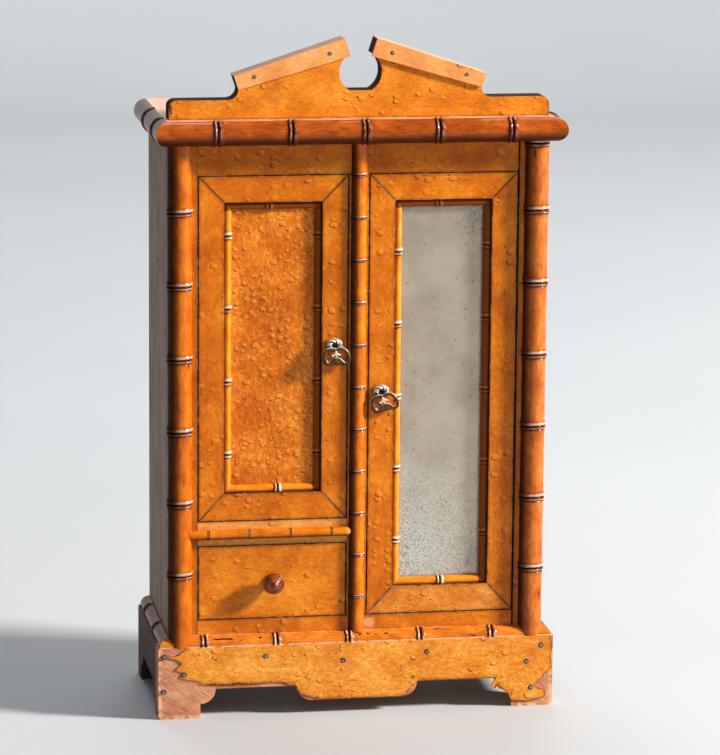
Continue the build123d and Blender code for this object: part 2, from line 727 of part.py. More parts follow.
with BuildPart() as nails:
    for x, z in plinth_nail_spots():
        nail(x, plinth_y, z, nail_head_radius, nail_length)
    for x, z in rake_nail_spots:
        nail(x, pediment_y - rake_stock, z, rake_nail_head_radius, rake_nail_length)
nails.part.label = "nails"
export_step(nails.part, "parts/nails.step")

# ---------------------------------------------------------------- doors
def door_opening(hinge_x, lock_x, bottom_z):
    """Returns the limits of the opening inside a door's frame as (x_span, z_span)."""
    x_span = (min(hinge_x, lock_x) + door_stile, max(hinge_x, lock_x) - door_stile)
    return x_span, (bottom_z + door_bottom_rail, door_top - door_top_rail)


def member(corners, opening, panel_y, pin_x, bottom_z):
    """Returns one mitred piece of a door's frame, with its panel groove and its share of the pin bores."""
    (low_x, high_x), (low_z, high_z) = opening
    groove_x = (low_x - panel_housing, high_x + panel_housing)
    groove_z = (low_z - panel_housing, high_z + panel_housing)
    bore = pin_length + pin_end_play
    with BuildPart() as piece:
        with BuildSketch(Plane.XZ.offset(-face_y)):
            with BuildLine():
                Polyline(corners, close=True)
            make_face()
        extrude(amount=-door_thickness)
        board(groove_x, panel_y, groove_z, Mode.SUBTRACT)
        peg((pin_x, door_pin_y, bottom_z), pin_radius + pin_clearance, bore, (0, 0, 1), Mode.SUBTRACT)
        peg((pin_x, door_pin_y, door_top), pin_radius + pin_clearance, bore, (0, 0, -1), Mode.SUBTRACT)
    return piece.part


def door_frame(hinge_x, lock_x, bottom_z, panel_y, pin_x, pull_x, pull_z):
    """Returns the hinge stile, lock stile, top rail and bottom rail of a door."""
    opening = door_opening(hinge_x, lock_x, bottom_z)
    (low_x, high_x), (low_z, high_z) = opening
    hinge_inner, lock_inner = (low_x, high_x) if hinge_x < lock_x else (high_x, low_x)
    outlines = {
        "hinge_stile": [(hinge_x, bottom_z), (hinge_inner, low_z), (hinge_inner, high_z), (hinge_x, door_top)],
        "lock_stile": [(lock_x, bottom_z), (lock_inner, low_z), (lock_inner, high_z), (lock_x, door_top)],
        "top_rail": [(hinge_x, door_top), (hinge_inner, high_z), (lock_inner, high_z), (lock_x, door_top)],
        "bottom_rail": [(hinge_x, bottom_z), (hinge_inner, low_z), (lock_inner, low_z), (lock_x, bottom_z)],
    }
    pieces = {}
    for name, corners in outlines.items():
        with BuildPart() as piece:
            add(member(corners, opening, panel_y, pin_x, bottom_z))
            if name == "lock_stile":
                peg((pull_x, face_y, pull_z), shank_radius, shank_length, (0, 1, 0), Mode.SUBTRACT)
        pieces[name] = piece.part
    return pieces


def filling(opening, y_span):
    """Adds the panel, mirror or board that fills a door's frame, a little smaller than its groove."""
    reach = panel_housing - panel_play
    (low_x, high_x), (low_z, high_z) = opening
    board((low_x - reach, high_x + reach), y_span, (low_z - reach, high_z + reach))


def bead(rod, inner_y, outline, opening):
    """Returns one bead: a bamboo rod on a square back, mitred to its outline."""
    bead_radius = bead_width / 2
    (low_x, high_x), (low_z, high_z) = opening
    with BuildPart() as piece:
        add(rod)
        axis_y = face_y + bead_setback + bead_radius
        low_back = (low_x + bead_width, high_x - bead_width)
        back_z = (low_z + bead_width, high_z - bead_width)
        board((low_x, high_x), (axis_y, inner_y), (low_z, high_z))
        board(low_back, (axis_y, inner_y), back_z, Mode.SUBTRACT)
        with BuildSketch(Plane.XZ.offset(-inner_y)):
            with BuildLine():
                Polyline(outline, close=True)
            make_face()
        extrude(amount=inner_y - face_y + 2 * bead_radius, mode=Mode.INTERSECT)
    return piece.part


def beads(opening, inner_y, left_rings, right_rings, top_ring, bottom_ring):
    """Returns the four mitred bamboo beads that frame a door's panel or mirror."""
    (low_x, high_x), (low_z, high_z) = opening
    radius = bead_width / 2
    depth = bead_width + collar_rise
    axis_y = face_y + bead_setback + radius
    height = high_z - low_z
    width = high_x - low_x
    middle = width / 2

    def upright(x, first_ring):
        rings = ring_places(first_ring, bead_ring_pitch, height)
        return Pos(x, axis_y, low_z) * bamboo(height, radius, rings, bead_collar_scale, bead_ring_rise)

    def level(z, ring):
        rod = bamboo(width, radius, [middle + ring], bead_collar_scale, bead_ring_rise)
        return laid_along_x(rod, low_x, axis_y, z)

    left_outline = [
        (low_x, low_z + mitre_gap), (low_x + depth, low_z + depth + mitre_gap),
        (low_x + depth, high_z - depth - mitre_gap), (low_x, high_z - mitre_gap),
    ]
    right_outline = [(low_x + high_x - x, z) for x, z in left_outline]
    bottom_outline = [(low_x, low_z), (low_x + depth, low_z + depth), (high_x - depth, low_z + depth), (high_x, low_z)]
    top_outline = [(x, low_z + high_z - z) for x, z in bottom_outline]
    return [
        bead(upright(low_x + radius, left_rings), inner_y, left_outline, opening),
        bead(upright(high_x - radius, right_rings), inner_y, right_outline, opening),
        bead(level(low_z + radius, bottom_ring), inner_y, bottom_outline, opening),
        bead(level(high_z - radius, top_ring), inner_y, top_outline, opening),
    ]


def pull_mount(x, hinge_z):
    """Adds a pull's fixed brass: back plate, arched knot, two cheeks with their pin, and the shank."""
    hinge_y = face_y - pull_standoff
    knot_z = hinge_z + knot_rise
    cheek_in = barrel_length / 2 + cheek_gap
    cheek_out = cheek_in + cheek_thickness
    margin = drop_pin_radius + cheek_margin
    peg((x, face_y, knot_z), plate_radius, plate_thickness, (0, -1, 0))
    with Locations(Plane(origin=(x, face_y - plate_thickness - knot_tube / 2, knot_z), z_dir=(0, -1, 0))):
        Torus(plate_radius - knot_tube, knot_tube)
    below = (hinge_z - 2 * plate_radius, hinge_z - margin)
    board((x - 2 * plate_radius, x + 2 * plate_radius), (hinge_y - plate_radius, face_y), below, Mode.SUBTRACT)
    swing = barrel_radius + cheek_gap
    clear_y = (hinge_y - 2 * plate_radius, hinge_y + swing)
    board((x - 2 * plate_radius, x + 2 * plate_radius), clear_y, (below[0], hinge_z + swing), Mode.SUBTRACT)
    for inner, outer in ((-cheek_out, -cheek_in), (cheek_in, cheek_out)):
        board((x + inner, x + outer), (hinge_y - margin, face_y - plate_thickness), (hinge_z - margin, knot_z))
    peg((x - cheek_out, hinge_y, hinge_z), drop_pin_radius, 2 * cheek_out, (1, 0, 0))
    peg((x, face_y, knot_z), shank_radius, shank_length, (0, 1, 0))


def pull_drop(x, hinge_z):
    """Returns a pull's swinging drop: two ringed lobes below a barrel on the pin."""
    hinge_y = face_y - pull_standoff
    front_y = hinge_y - drop_thickness / 2
    barrel_start = (x - barrel_length / 2, hinge_y, hinge_z)
    lobe_centres = [(x + side * lobe_offset, hinge_z - lobe_drop) for side in (-1, 1)]
    with BuildPart() as drop:
        with BuildSketch(Plane.XZ.offset(-front_y)):
            with Locations(lobe_centres):
                Circle(lobe_radius)
            with Locations((x, hinge_z)):
                Rectangle(barrel_length, lobe_drop, align=(Align.CENTER, Align.MAX))
            with Locations(lobe_centres):
                Circle(lobe_hole, mode=Mode.SUBTRACT)
        extrude(amount=-drop_thickness)
        for start in (x - barrel_length / 2 - lobe_radius, x + barrel_length / 2):
            peg((start, hinge_y, hinge_z), lobe_relief, lobe_radius, (1, 0, 0), Mode.SUBTRACT)
        peg(barrel_start, barrel_radius, barrel_length, (1, 0, 0))
        peg(barrel_start, drop_pin_radius + drop_clearance, barrel_length, (1, 0, 0), Mode.SUBTRACT)
    return drop.part


left_opening = door_opening(left_door_x, -door_inner_x, left_door_bottom)
left_panel_y = (face_y + panel_recess, face_y + panel_recess + panel_thickness)
left_pull_x = -door_inner_x - door_stile / 2
left_pull_z = left_door_bottom + left_pull_height
left_frame = door_frame(
    left_door_x, -door_inner_x, left_door_bottom, left_panel_y, door_pin_left_x, left_pull_x, left_pull_z + knot_rise
)
for name, piece in left_frame.items():
    piece.label = "left_door_" + name
    export_step(piece, f"parts/left_door_{name}.step")

with BuildPart() as left_door_panel:
    filling(left_opening, left_panel_y)
left_door_panel.part.label = "left_door_panel"
export_step(left_door_panel.part, "parts/left_door_panel.step")

with BuildPart() as left_door_beads:
    for piece in beads(
        left_opening, left_panel_y[0], left_door_bead_ring, left_door_bead_ring, left_door_top_ring, left_door_bottom_ring
    ):
        add(piece)
left_door_beads.part.label = "left_door_beads"
export_step(left_door_beads.part, "parts/left_door_beads.step")

with BuildPart() as left_pull_mount:
    pull_mount(left_pull_x, left_pull_z)
left_pull_mount.part.label = "left_pull_mount"
export_step(left_pull_mount.part, "parts/left_pull_mount.step")

with BuildPart() as left_pull_drop:
    add(pull_drop(left_pull_x, left_pull_z))
left_pull_drop.part.label = "left_pull_drop"
export_step(left_pull_drop.part, "parts/left_pull_drop.step")

right_opening = door_opening(right_door_x, door_inner_x, right_door_bottom)
mirror_y = (face_y + mirror_recess, face_y + mirror_recess + mirror_thickness)
right_pull_x = door_inner_x + door_stile / 2
right_pull_z = right_door_bottom + right_pull_height
right_frame = door_frame(
    right_door_x, door_inner_x, right_door_bottom, (mirror_y[0], door_back_y), door_pin_right_x,
    right_pull_x, right_pull_z + knot_rise,
)
for name, piece in right_frame.items():
    piece.label = "right_door_" + name
    export_step(piece, f"parts/right_door_{name}.step")

with BuildPart() as mirror_glass:
    filling(right_opening, mirror_y)
mirror_glass.part.label = "mirror_glass"
export_step(mirror_glass.part, "parts/mirror_glass.step")

with BuildPart() as mirror_backboard:
    filling(right_opening, (mirror_y[1], door_back_y))
mirror_backboard.part.label = "mirror_backboard"
export_step(mirror_backboard.part, "parts/mirror_backboard.step")

with BuildPart() as right_door_beads:
    for piece in beads(
        right_opening, mirror_y[0], mirror_lock_bead_ring, mirror_hinge_bead_ring, mirror_top_ring, mirror_bottom_ring
    ):
        add(piece)
right_door_beads.part.label = "right_door_beads"
export_step(right_door_beads.part, "parts/right_door_beads.step")

with BuildPart() as right_pull_mount:
    pull_mount(right_pull_x, right_pull_z)
right_pull_mount.part.label = "right_pull_mount"
export_step(right_pull_mount.part, "parts/right_pull_mount.step")

with BuildPart() as right_pull_drop:
    add(pull_drop(right_pull_x, right_pull_z))
right_pull_drop.part.label = "right_pull_drop"
export_step(right_pull_drop.part, "parts/right_pull_drop.step")

# ---------------------------------------------------------------- drawer
drawer_x = (left_door_x, -door_inner_x)
drawer_bottom_z = floor_top + drawer_clearance
drawer_front_z = (floor_top + drawer_gap, divider_bottom - drawer_gap)
drawer_front_y = (face_y, face_y + drawer_front_stock)
drawer_lap_y = drawer_front_y[1] - drawer_stock
drawer_back_y = inner_back_y - drawer_back_gap
drawer_side_z = (drawer_bottom_z, drawer_bottom_z + drawer_box_height)
drawer_floor_z = (drawer_bottom_z + drawer_bottom_raise, drawer_bottom_z + drawer_bottom_raise + drawer_bottom_stock)
drawer_inner_x = (drawer_x[0] + drawer_stock, drawer_x[1] - drawer_stock)
knob_x = (drawer_x[0] + drawer_x[1]) / 2
knob_z = (drawer_front_z[0] + drawer_front_z[1]) / 2

with BuildPart() as drawer_bottom:
    board(
        (drawer_inner_x[0] - housing, drawer_inner_x[1] + housing),
        (drawer_front_y[1] - housing, drawer_back_y),
        drawer_floor_z,
    )
drawer_bottom.part.label = "drawer_bottom"
export_step(drawer_bottom.part, "parts/drawer_bottom.step")

with BuildPart() as drawer_left_side:
    board((drawer_x[0], drawer_inner_x[0]), (drawer_lap_y, drawer_back_y), drawer_side_z)
    add(drawer_bottom.part, mode=Mode.SUBTRACT)
drawer_left_side.part.label = "drawer_left_side"
export_step(drawer_left_side.part, "parts/drawer_left_side.step")

with BuildPart() as drawer_right_side:
    board((drawer_inner_x[1], drawer_x[1]), (drawer_lap_y, drawer_back_y), drawer_side_z)
    add(drawer_bottom.part, mode=Mode.SUBTRACT)
drawer_right_side.part.label = "drawer_right_side"
export_step(drawer_right_side.part, "parts/drawer_right_side.step")

with BuildPart() as drawer_back:
    board(drawer_inner_x, (drawer_back_y - drawer_stock, drawer_back_y), (drawer_floor_z[1], drawer_side_z[1]))
drawer_back.part.label = "drawer_back"
export_step(drawer_back.part, "parts/drawer_back.step")

with BuildPart() as drawer_front:
    board(drawer_x, drawer_front_y, drawer_front_z)
    for neighbour in (drawer_bottom, drawer_left_side, drawer_right_side):
        add(neighbour.part, mode=Mode.SUBTRACT)
    peg((knob_x, face_y, knob_z), knob_tenon_radius, knob_tenon, (0, 1, 0), Mode.SUBTRACT)
drawer_front.part.label = "drawer_front"
export_step(drawer_front.part, "parts/drawer_front.step")

with BuildPart(Plane(origin=(knob_x, face_y, knob_z), z_dir=(0, -1, 0))) as drawer_knob:
    Cylinder(knob_flange, knob_flange_thickness, align=(Align.CENTER, Align.CENTER, Align.MIN))
    Cylinder(knob_neck, knob_reach - knob_radius, align=(Align.CENTER, Align.CENTER, Align.MIN))
    with Locations((0, 0, knob_reach - knob_radius)):
        Sphere(knob_radius)
    Cylinder(knob_tenon_radius, knob_tenon, align=(Align.CENTER, Align.CENTER, Align.MAX))
drawer_knob.part.label = "drawer_knob"
export_step(drawer_knob.part, "parts/drawer_knob.step")
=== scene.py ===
"""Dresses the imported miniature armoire: wood, turned bamboo, pulls, mirror, studio and camera."""

from __future__ import annotations

import logging
import math
from dataclasses import dataclass, field, replace
from enum import Enum
from typing import Iterable, Optional, Protocol, Sequence, Union

import bmesh
import bpy
import numpy as np
from mathutils import Matrix, Vector


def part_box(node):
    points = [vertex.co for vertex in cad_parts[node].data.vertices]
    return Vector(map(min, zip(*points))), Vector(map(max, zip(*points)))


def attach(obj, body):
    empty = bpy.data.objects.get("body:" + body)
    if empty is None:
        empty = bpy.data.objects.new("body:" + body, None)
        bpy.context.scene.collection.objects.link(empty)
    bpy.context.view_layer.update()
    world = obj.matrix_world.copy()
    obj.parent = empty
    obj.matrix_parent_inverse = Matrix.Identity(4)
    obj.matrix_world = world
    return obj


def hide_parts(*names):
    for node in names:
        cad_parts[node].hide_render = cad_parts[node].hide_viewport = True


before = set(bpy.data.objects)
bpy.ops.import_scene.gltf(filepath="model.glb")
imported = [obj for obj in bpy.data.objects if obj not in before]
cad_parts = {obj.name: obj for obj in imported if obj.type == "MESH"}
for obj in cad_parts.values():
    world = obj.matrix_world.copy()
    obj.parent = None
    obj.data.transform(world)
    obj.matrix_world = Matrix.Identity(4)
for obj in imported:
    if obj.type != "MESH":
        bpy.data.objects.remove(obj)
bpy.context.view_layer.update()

LOG = logging.getLogger("armoire")
MM = 0.001
TAU = 2.0 * math.pi
Colour = tuple[float, float, float]
Span = tuple[float, float]
Point = tuple[float, float]
Face = tuple[float, float, float, float]
RIGHTWARD, LEFTWARD = (1, 0, 0), (-1, 0, 0)
BACKWARD, FORWARD = (0, 1, 0), (0, -1, 0)
UPWARD, DOWNWARD = (0, 0, 1), (0, 0, -1)


def paint(red: int, green: int, blue: int) -> Colour:
    """Turns an 8-bit display colour into the linear values that the shaders take.

    Args:
        red: Red, 0 to 255.
        green: Green, 0 to 255.
        blue: Blue, 0 to 255.

    Returns:
        The linear colour.
    """
    parts = [value / 255.0 for value in (red, green, blue)]
    return tuple(p / 12.92 if p <= 0.04045 else ((p + 0.055) / 1.055) ** 2.4 for p in parts)


class Grain(Enum):
    """The way a board's grain runs."""

    ACROSS = 0
    DEEP = 1
    UPRIGHT = 2


# ---------------------------------------------------------------- shader arithmetic
class Field:
    """One output socket of a material, with arithmetic that adds the nodes it needs."""

    def __init__(self, graph: "Graph", socket: bpy.types.NodeSocket) -> None:
        """Wraps a socket of the graph."""
        self.graph = graph
        self.socket = socket

    def __add__(self, other: "Value") -> "Field":
        """Adds."""
        return self.graph.math("ADD", self, other)

    __radd__ = __add__

    def __sub__(self, other: "Value") -> "Field":
        """Subtracts."""
        return self.graph.math("SUBTRACT", self, other)

    def __rsub__(self, other: "Value") -> "Field":
        """Subtracts from a number."""
        return self.graph.math("SUBTRACT", other, self)

    def __mul__(self, other: "Value") -> "Field":
        """Multiplies."""
        return self.graph.math("MULTIPLY", self, other)

    __rmul__ = __mul__

    def __truediv__(self, other: "Value") -> "Field":
        """Divides."""
        return self.graph.math("DIVIDE", self, other)

    def __abs__(self) -> "Field":
        """Drops the sign."""
        return self.graph.math("ABSOLUTE", self)

    def over(self, limit: "Value") -> "Field":
        """Gives 1 where the value is over the limit, else 0."""
        return self.graph.math("GREATER_THAN", self, limit)

    def at_most(self, limit: "Value") -> "Field":
        """Gives the smaller of the two."""
        return self.graph.math("MINIMUM", self, limit)

    def at_least(self, limit: "Value") -> "Field":
        """Gives the larger of the two."""
        return self.graph.math("MAXIMUM", self, limit)

    def clamped(self) -> "Field":
        """Keeps the value between 0 and 1."""
        return self.at_least(0.0).at_most(1.0)

    def swing(self, amount: "Value") -> "Field":
        """Centres a value about 0.5 on 0 and multiplies it by the amount."""
        return (self - 0.5) * amount

    def rise(self, low: "Value", high: "Value") -> "Field":
        """Goes smoothly from 0 at low to 1 at high; high may be the smaller one.

        Args:
            low: Where the result is 0.
            high: Where the result is 1.

        Returns:
            The eased value.
        """
        node = self.graph.node(
            "ShaderNodeMapRange", {"interpolation_type": "SMOOTHSTEP"}, {0: self, 1: low, 2: high}
        )
        return Field(self.graph, node.outputs[0])


Value = Union[float, Field]
Tint = Union[Colour, Field]


class Graph:
    """The node tree of one material, with coordinates in millimetres."""

    def __init__(self, name: str) -> None:
        """Starts an empty material of that name.

        Args:
            name: Name to give it.
        """
        self.material = bpy.data.materials.new(name)
        self.material.use_nodes = True
        self.tree = self.material.node_tree
        self.tree.nodes.clear()
        self._place: Optional[Field] = None
        self._axes: Optional[list[Field]] = None

    def node(
        self, kind: str, settings: Optional[dict] = None, inputs: Optional[dict] = None
    ) -> bpy.types.Node:
        """Adds a node.

        Args:
            kind: The node's type.
            settings: Its properties, set before its sockets.
            inputs: Socket name or index to a value, colour or Field.

        Returns:
            The new node.
        """
        node = self.tree.nodes.new(kind)
        for name, value in (settings or {}).items():
            setattr(node, name, value)
        for name, value in (inputs or {}).items():
            socket = node.inputs[name]
            if isinstance(value, Field):
                self.tree.links.new(value.socket, socket)
            elif isinstance(value, tuple) and len(value) == 3 and socket.type == "RGBA":
                socket.default_value = (*value, 1.0)
            else:
                socket.default_value = value
        return node

    def math(self, operation: str, *values: Value) -> Field:
        """Adds a Math node on the values and returns its result."""
        node = self.node("ShaderNodeMath", {"operation": operation}, dict(enumerate(values)))
        return Field(self, node.outputs[0])

    def place(self) -> Field:
        """Returns the place on the object, in millimetres.

        Returns:
            The place as a vector, in millimetres.
        """
        if self._place is None:
            coordinates = self.node("ShaderNodeTexCoord")
            metres = Field(self, coordinates.outputs["Object"])
            self._place = self.scaled(metres, (1.0 / MM,) * 3)
        return self._place

    def axes(self) -> list[Field]:
        """Returns x, y and z of the place, in millimetres.

        Returns:
            The three parts of the place.
        """
        if self._axes is None:
            node = self.node("ShaderNodeSeparateXYZ", None, {0: self.place()})
            self._axes = [Field(self, output) for output in node.outputs]
        return self._axes

    def scaled(
        self, vector: Field, scale: Sequence[float], shift: Sequence[float] = (0.0, 0.0, 0.0)
    ) -> Field:
        """Multiplies a vector by scale, part by part, and adds shift.

        Args:
            vector: The vector.
            scale: A factor for each part.
            shift: What is added to each part.

        Returns:
            The new vector.
        """
        inputs = {0: vector, 1: tuple(scale), 2: tuple(shift)}
        node = self.node("ShaderNodeVectorMath", {"operation": "MULTIPLY_ADD"}, inputs)
        return Field(self, node.outputs[0])

    def moved(self, vector: Field, *shift: float) -> Field:
        """Adds a constant to each part of a vector."""
        return self.scaled(vector, (1.0,) * 3, shift)

    def pushed(self, vector: Field, push: Field, amount: float) -> Field:
        """Moves a vector by a colour noise about its middle.

        Args:
            vector: The vector.
            push: The noise, with parts about 0.5.
            amount: How far it moves, at most.

        Returns:
            The moved vector.
        """
        centred = self.scaled(push, (2 * amount,) * 3, (-amount,) * 3)
        node = self.node("ShaderNodeVectorMath", {"operation": "ADD"}, {0: vector, 1: centred})
        return Field(self, node.outputs[0])

    def noise(
        self, vector: Field, size: float, detail: float = 2.0, rough: float = 0.5, swirl: float = 0.0
    ) -> Field:
        """Returns a cloud of values about 0.5.

        Args:
            vector: Where to read it.
            size: Size of its largest features.
            detail: How many finer layers it has.
            rough: How strong the finer layers are.
            swirl: How far it is distorted.

        Returns:
            The value of the cloud.
        """
        inputs = {"Vector": vector, "Scale": 1.0 / size, "Detail": detail, "Roughness": rough}
        inputs["Distortion"] = swirl
        return Field(self, self.node("ShaderNodeTexNoise", None, inputs).outputs[0])

    def noise_colour(self, vector: Field, size: float, detail: float = 2.0) -> Field:
        """Returns a cloud with three unlike channels."""
        inputs = {"Vector": vector, "Scale": 1.0 / size, "Detail": detail}
        return Field(self, self.node("ShaderNodeTexNoise", None, inputs).outputs[1])

    def spread(self, push: float = 0.0, push_size: float = 9.0) -> Field:
        """Lays the place out on a flat sheet for front, side and top faces alike, and ripples it.

        Args:
            push: How far the ripples move it, at most.
            push_size: Size of the ripples.

        Returns:
            x + y across, z + 0.6 y up.
        """
        x, y, z = self.axes()
        sheet = self.vector(x + y, z + y * 0.6, 0.0)
        return self.pushed(sheet, self.noise_colour(sheet, push_size), push) if push else sheet

    def cells(self, vector: Field, size: float) -> tuple[Field, Field]:
        """Scatters points on a sheet.

        Args:
            vector: The place on the sheet.
            size: How far apart the points are.

        Returns:
            The distance to the nearest point, and that point's random value.
        """
        settings = {"voronoi_dimensions": "2D"}
        node = self.node("ShaderNodeTexVoronoi", settings, {"Vector": vector, "Scale": 1.0 / size})
        chance = self.node("ShaderNodeSeparateColor", None, {0: Field(self, node.outputs[1])})
        return Field(self, node.outputs[0]) * size, Field(self, chance.outputs[0])

    def mix(self, factor: Value, low: Tint, high: Tint, mode: str = "MIX") -> Field:
        """Goes from one colour to another.

        Args:
            factor: 0 for the first colour, 1 for the second.
            low: The first colour.
            high: The second colour.
            mode: How the second is laid over the first.

        Returns:
            The mixed colour.
        """
        settings = {"data_type": "RGBA", "blend_type": mode, "clamp_factor": True}
        node = self.node("ShaderNodeMix", settings, {0: factor, 6: low, 7: high})
        return Field(self, node.outputs[2])

    def ramp(self, factor: Field, stops: Sequence[tuple[float, Colour]]) -> Field:
        """Reads a colour off a ramp.

        Args:
            factor: The place on the ramp.
            stops: Places with their colours, in order.

        Returns:
            The colour there.
        """
        node = self.node("ShaderNodeValToRGB")
        elements = node.color_ramp.elements
        for element, (place, colour) in zip(elements, stops):
            element.position = place
            element.color = (*colour, 1.0)
        for place, colour in stops[2:]:
            elements.new(place).color = (*colour, 1.0)
        self.tree.links.new(factor.socket, node.inputs[0])
        return Field(self, node.outputs[0])

    def shades(self, tone: Field, colours: Sequence[Colour], reach: float = 0.35) -> Field:
        """Returns a dark, a middle or a light colour, which lie reach apart about a tone of 0.5."""
        return self.ramp(tone, tuple(zip((0.5 - reach, 0.5, 0.5 + reach), colours)))

    def attribute(self, name: str) -> list[Field]:
        """Returns the three parts of a piece's own vector attribute."""
        source = self.node("ShaderNodeAttribute", {"attribute_name": name})
        node = self.node("ShaderNodeSeparateXYZ", None, {0: Field(self, source.outputs[1])})
        return [Field(self, output) for output in node.outputs]

    def vector(self, x: Value, y: Value, z: Value) -> Field:
        """Joins three values to a vector."""
        return Field(self, self.node("ShaderNodeCombineXYZ", None, {0: x, 1: y, 2: z}).outputs[0])

    def close(
        self, constants: dict, height: Optional[Field] = None, relief: float = 0.1, **varying: Field
    ) -> bpy.types.Material:
        """Adds the shader and the output, and returns the material.

        Args:
            constants: Shader sockets that are the same all over.
            height: Height of the surface, in millimetres.
            relief: How strongly the height shows.
            varying: Base_Color, Roughness, Metallic or Coat_Weight fields.

        Returns:
            The finished material.
        """
        inputs = dict(constants)
        inputs.update({name.replace("_", " "): value for name, value in varying.items()})
        if height is not None:
            bump = self.node("ShaderNodeBump", None, {"Strength": relief, "Distance": MM, "Height": height})
            inputs["Normal"] = Field(self, bump.outputs[0])
        shader = self.node("ShaderNodeBsdfPrincipled", None, inputs)
        self.node("ShaderNodeOutputMaterial", None, {0: Field(self, shader.outputs[0])})
        return self.material


# ---------------------------------------------------------------- finishes
@dataclass(frozen=True)
class Seam:
    """A straight joint in the front plane, through (x, z) along a heading in degrees from +X."""

    x: float
    z: float
    heading: float


@dataclass(frozen=True)
class Patch:
    """A worn or bruised place on a front: its middle (x, z), its two radii and its colour."""

    x: float
    z: float
    wide: float
    tall: float
    colour: Colour


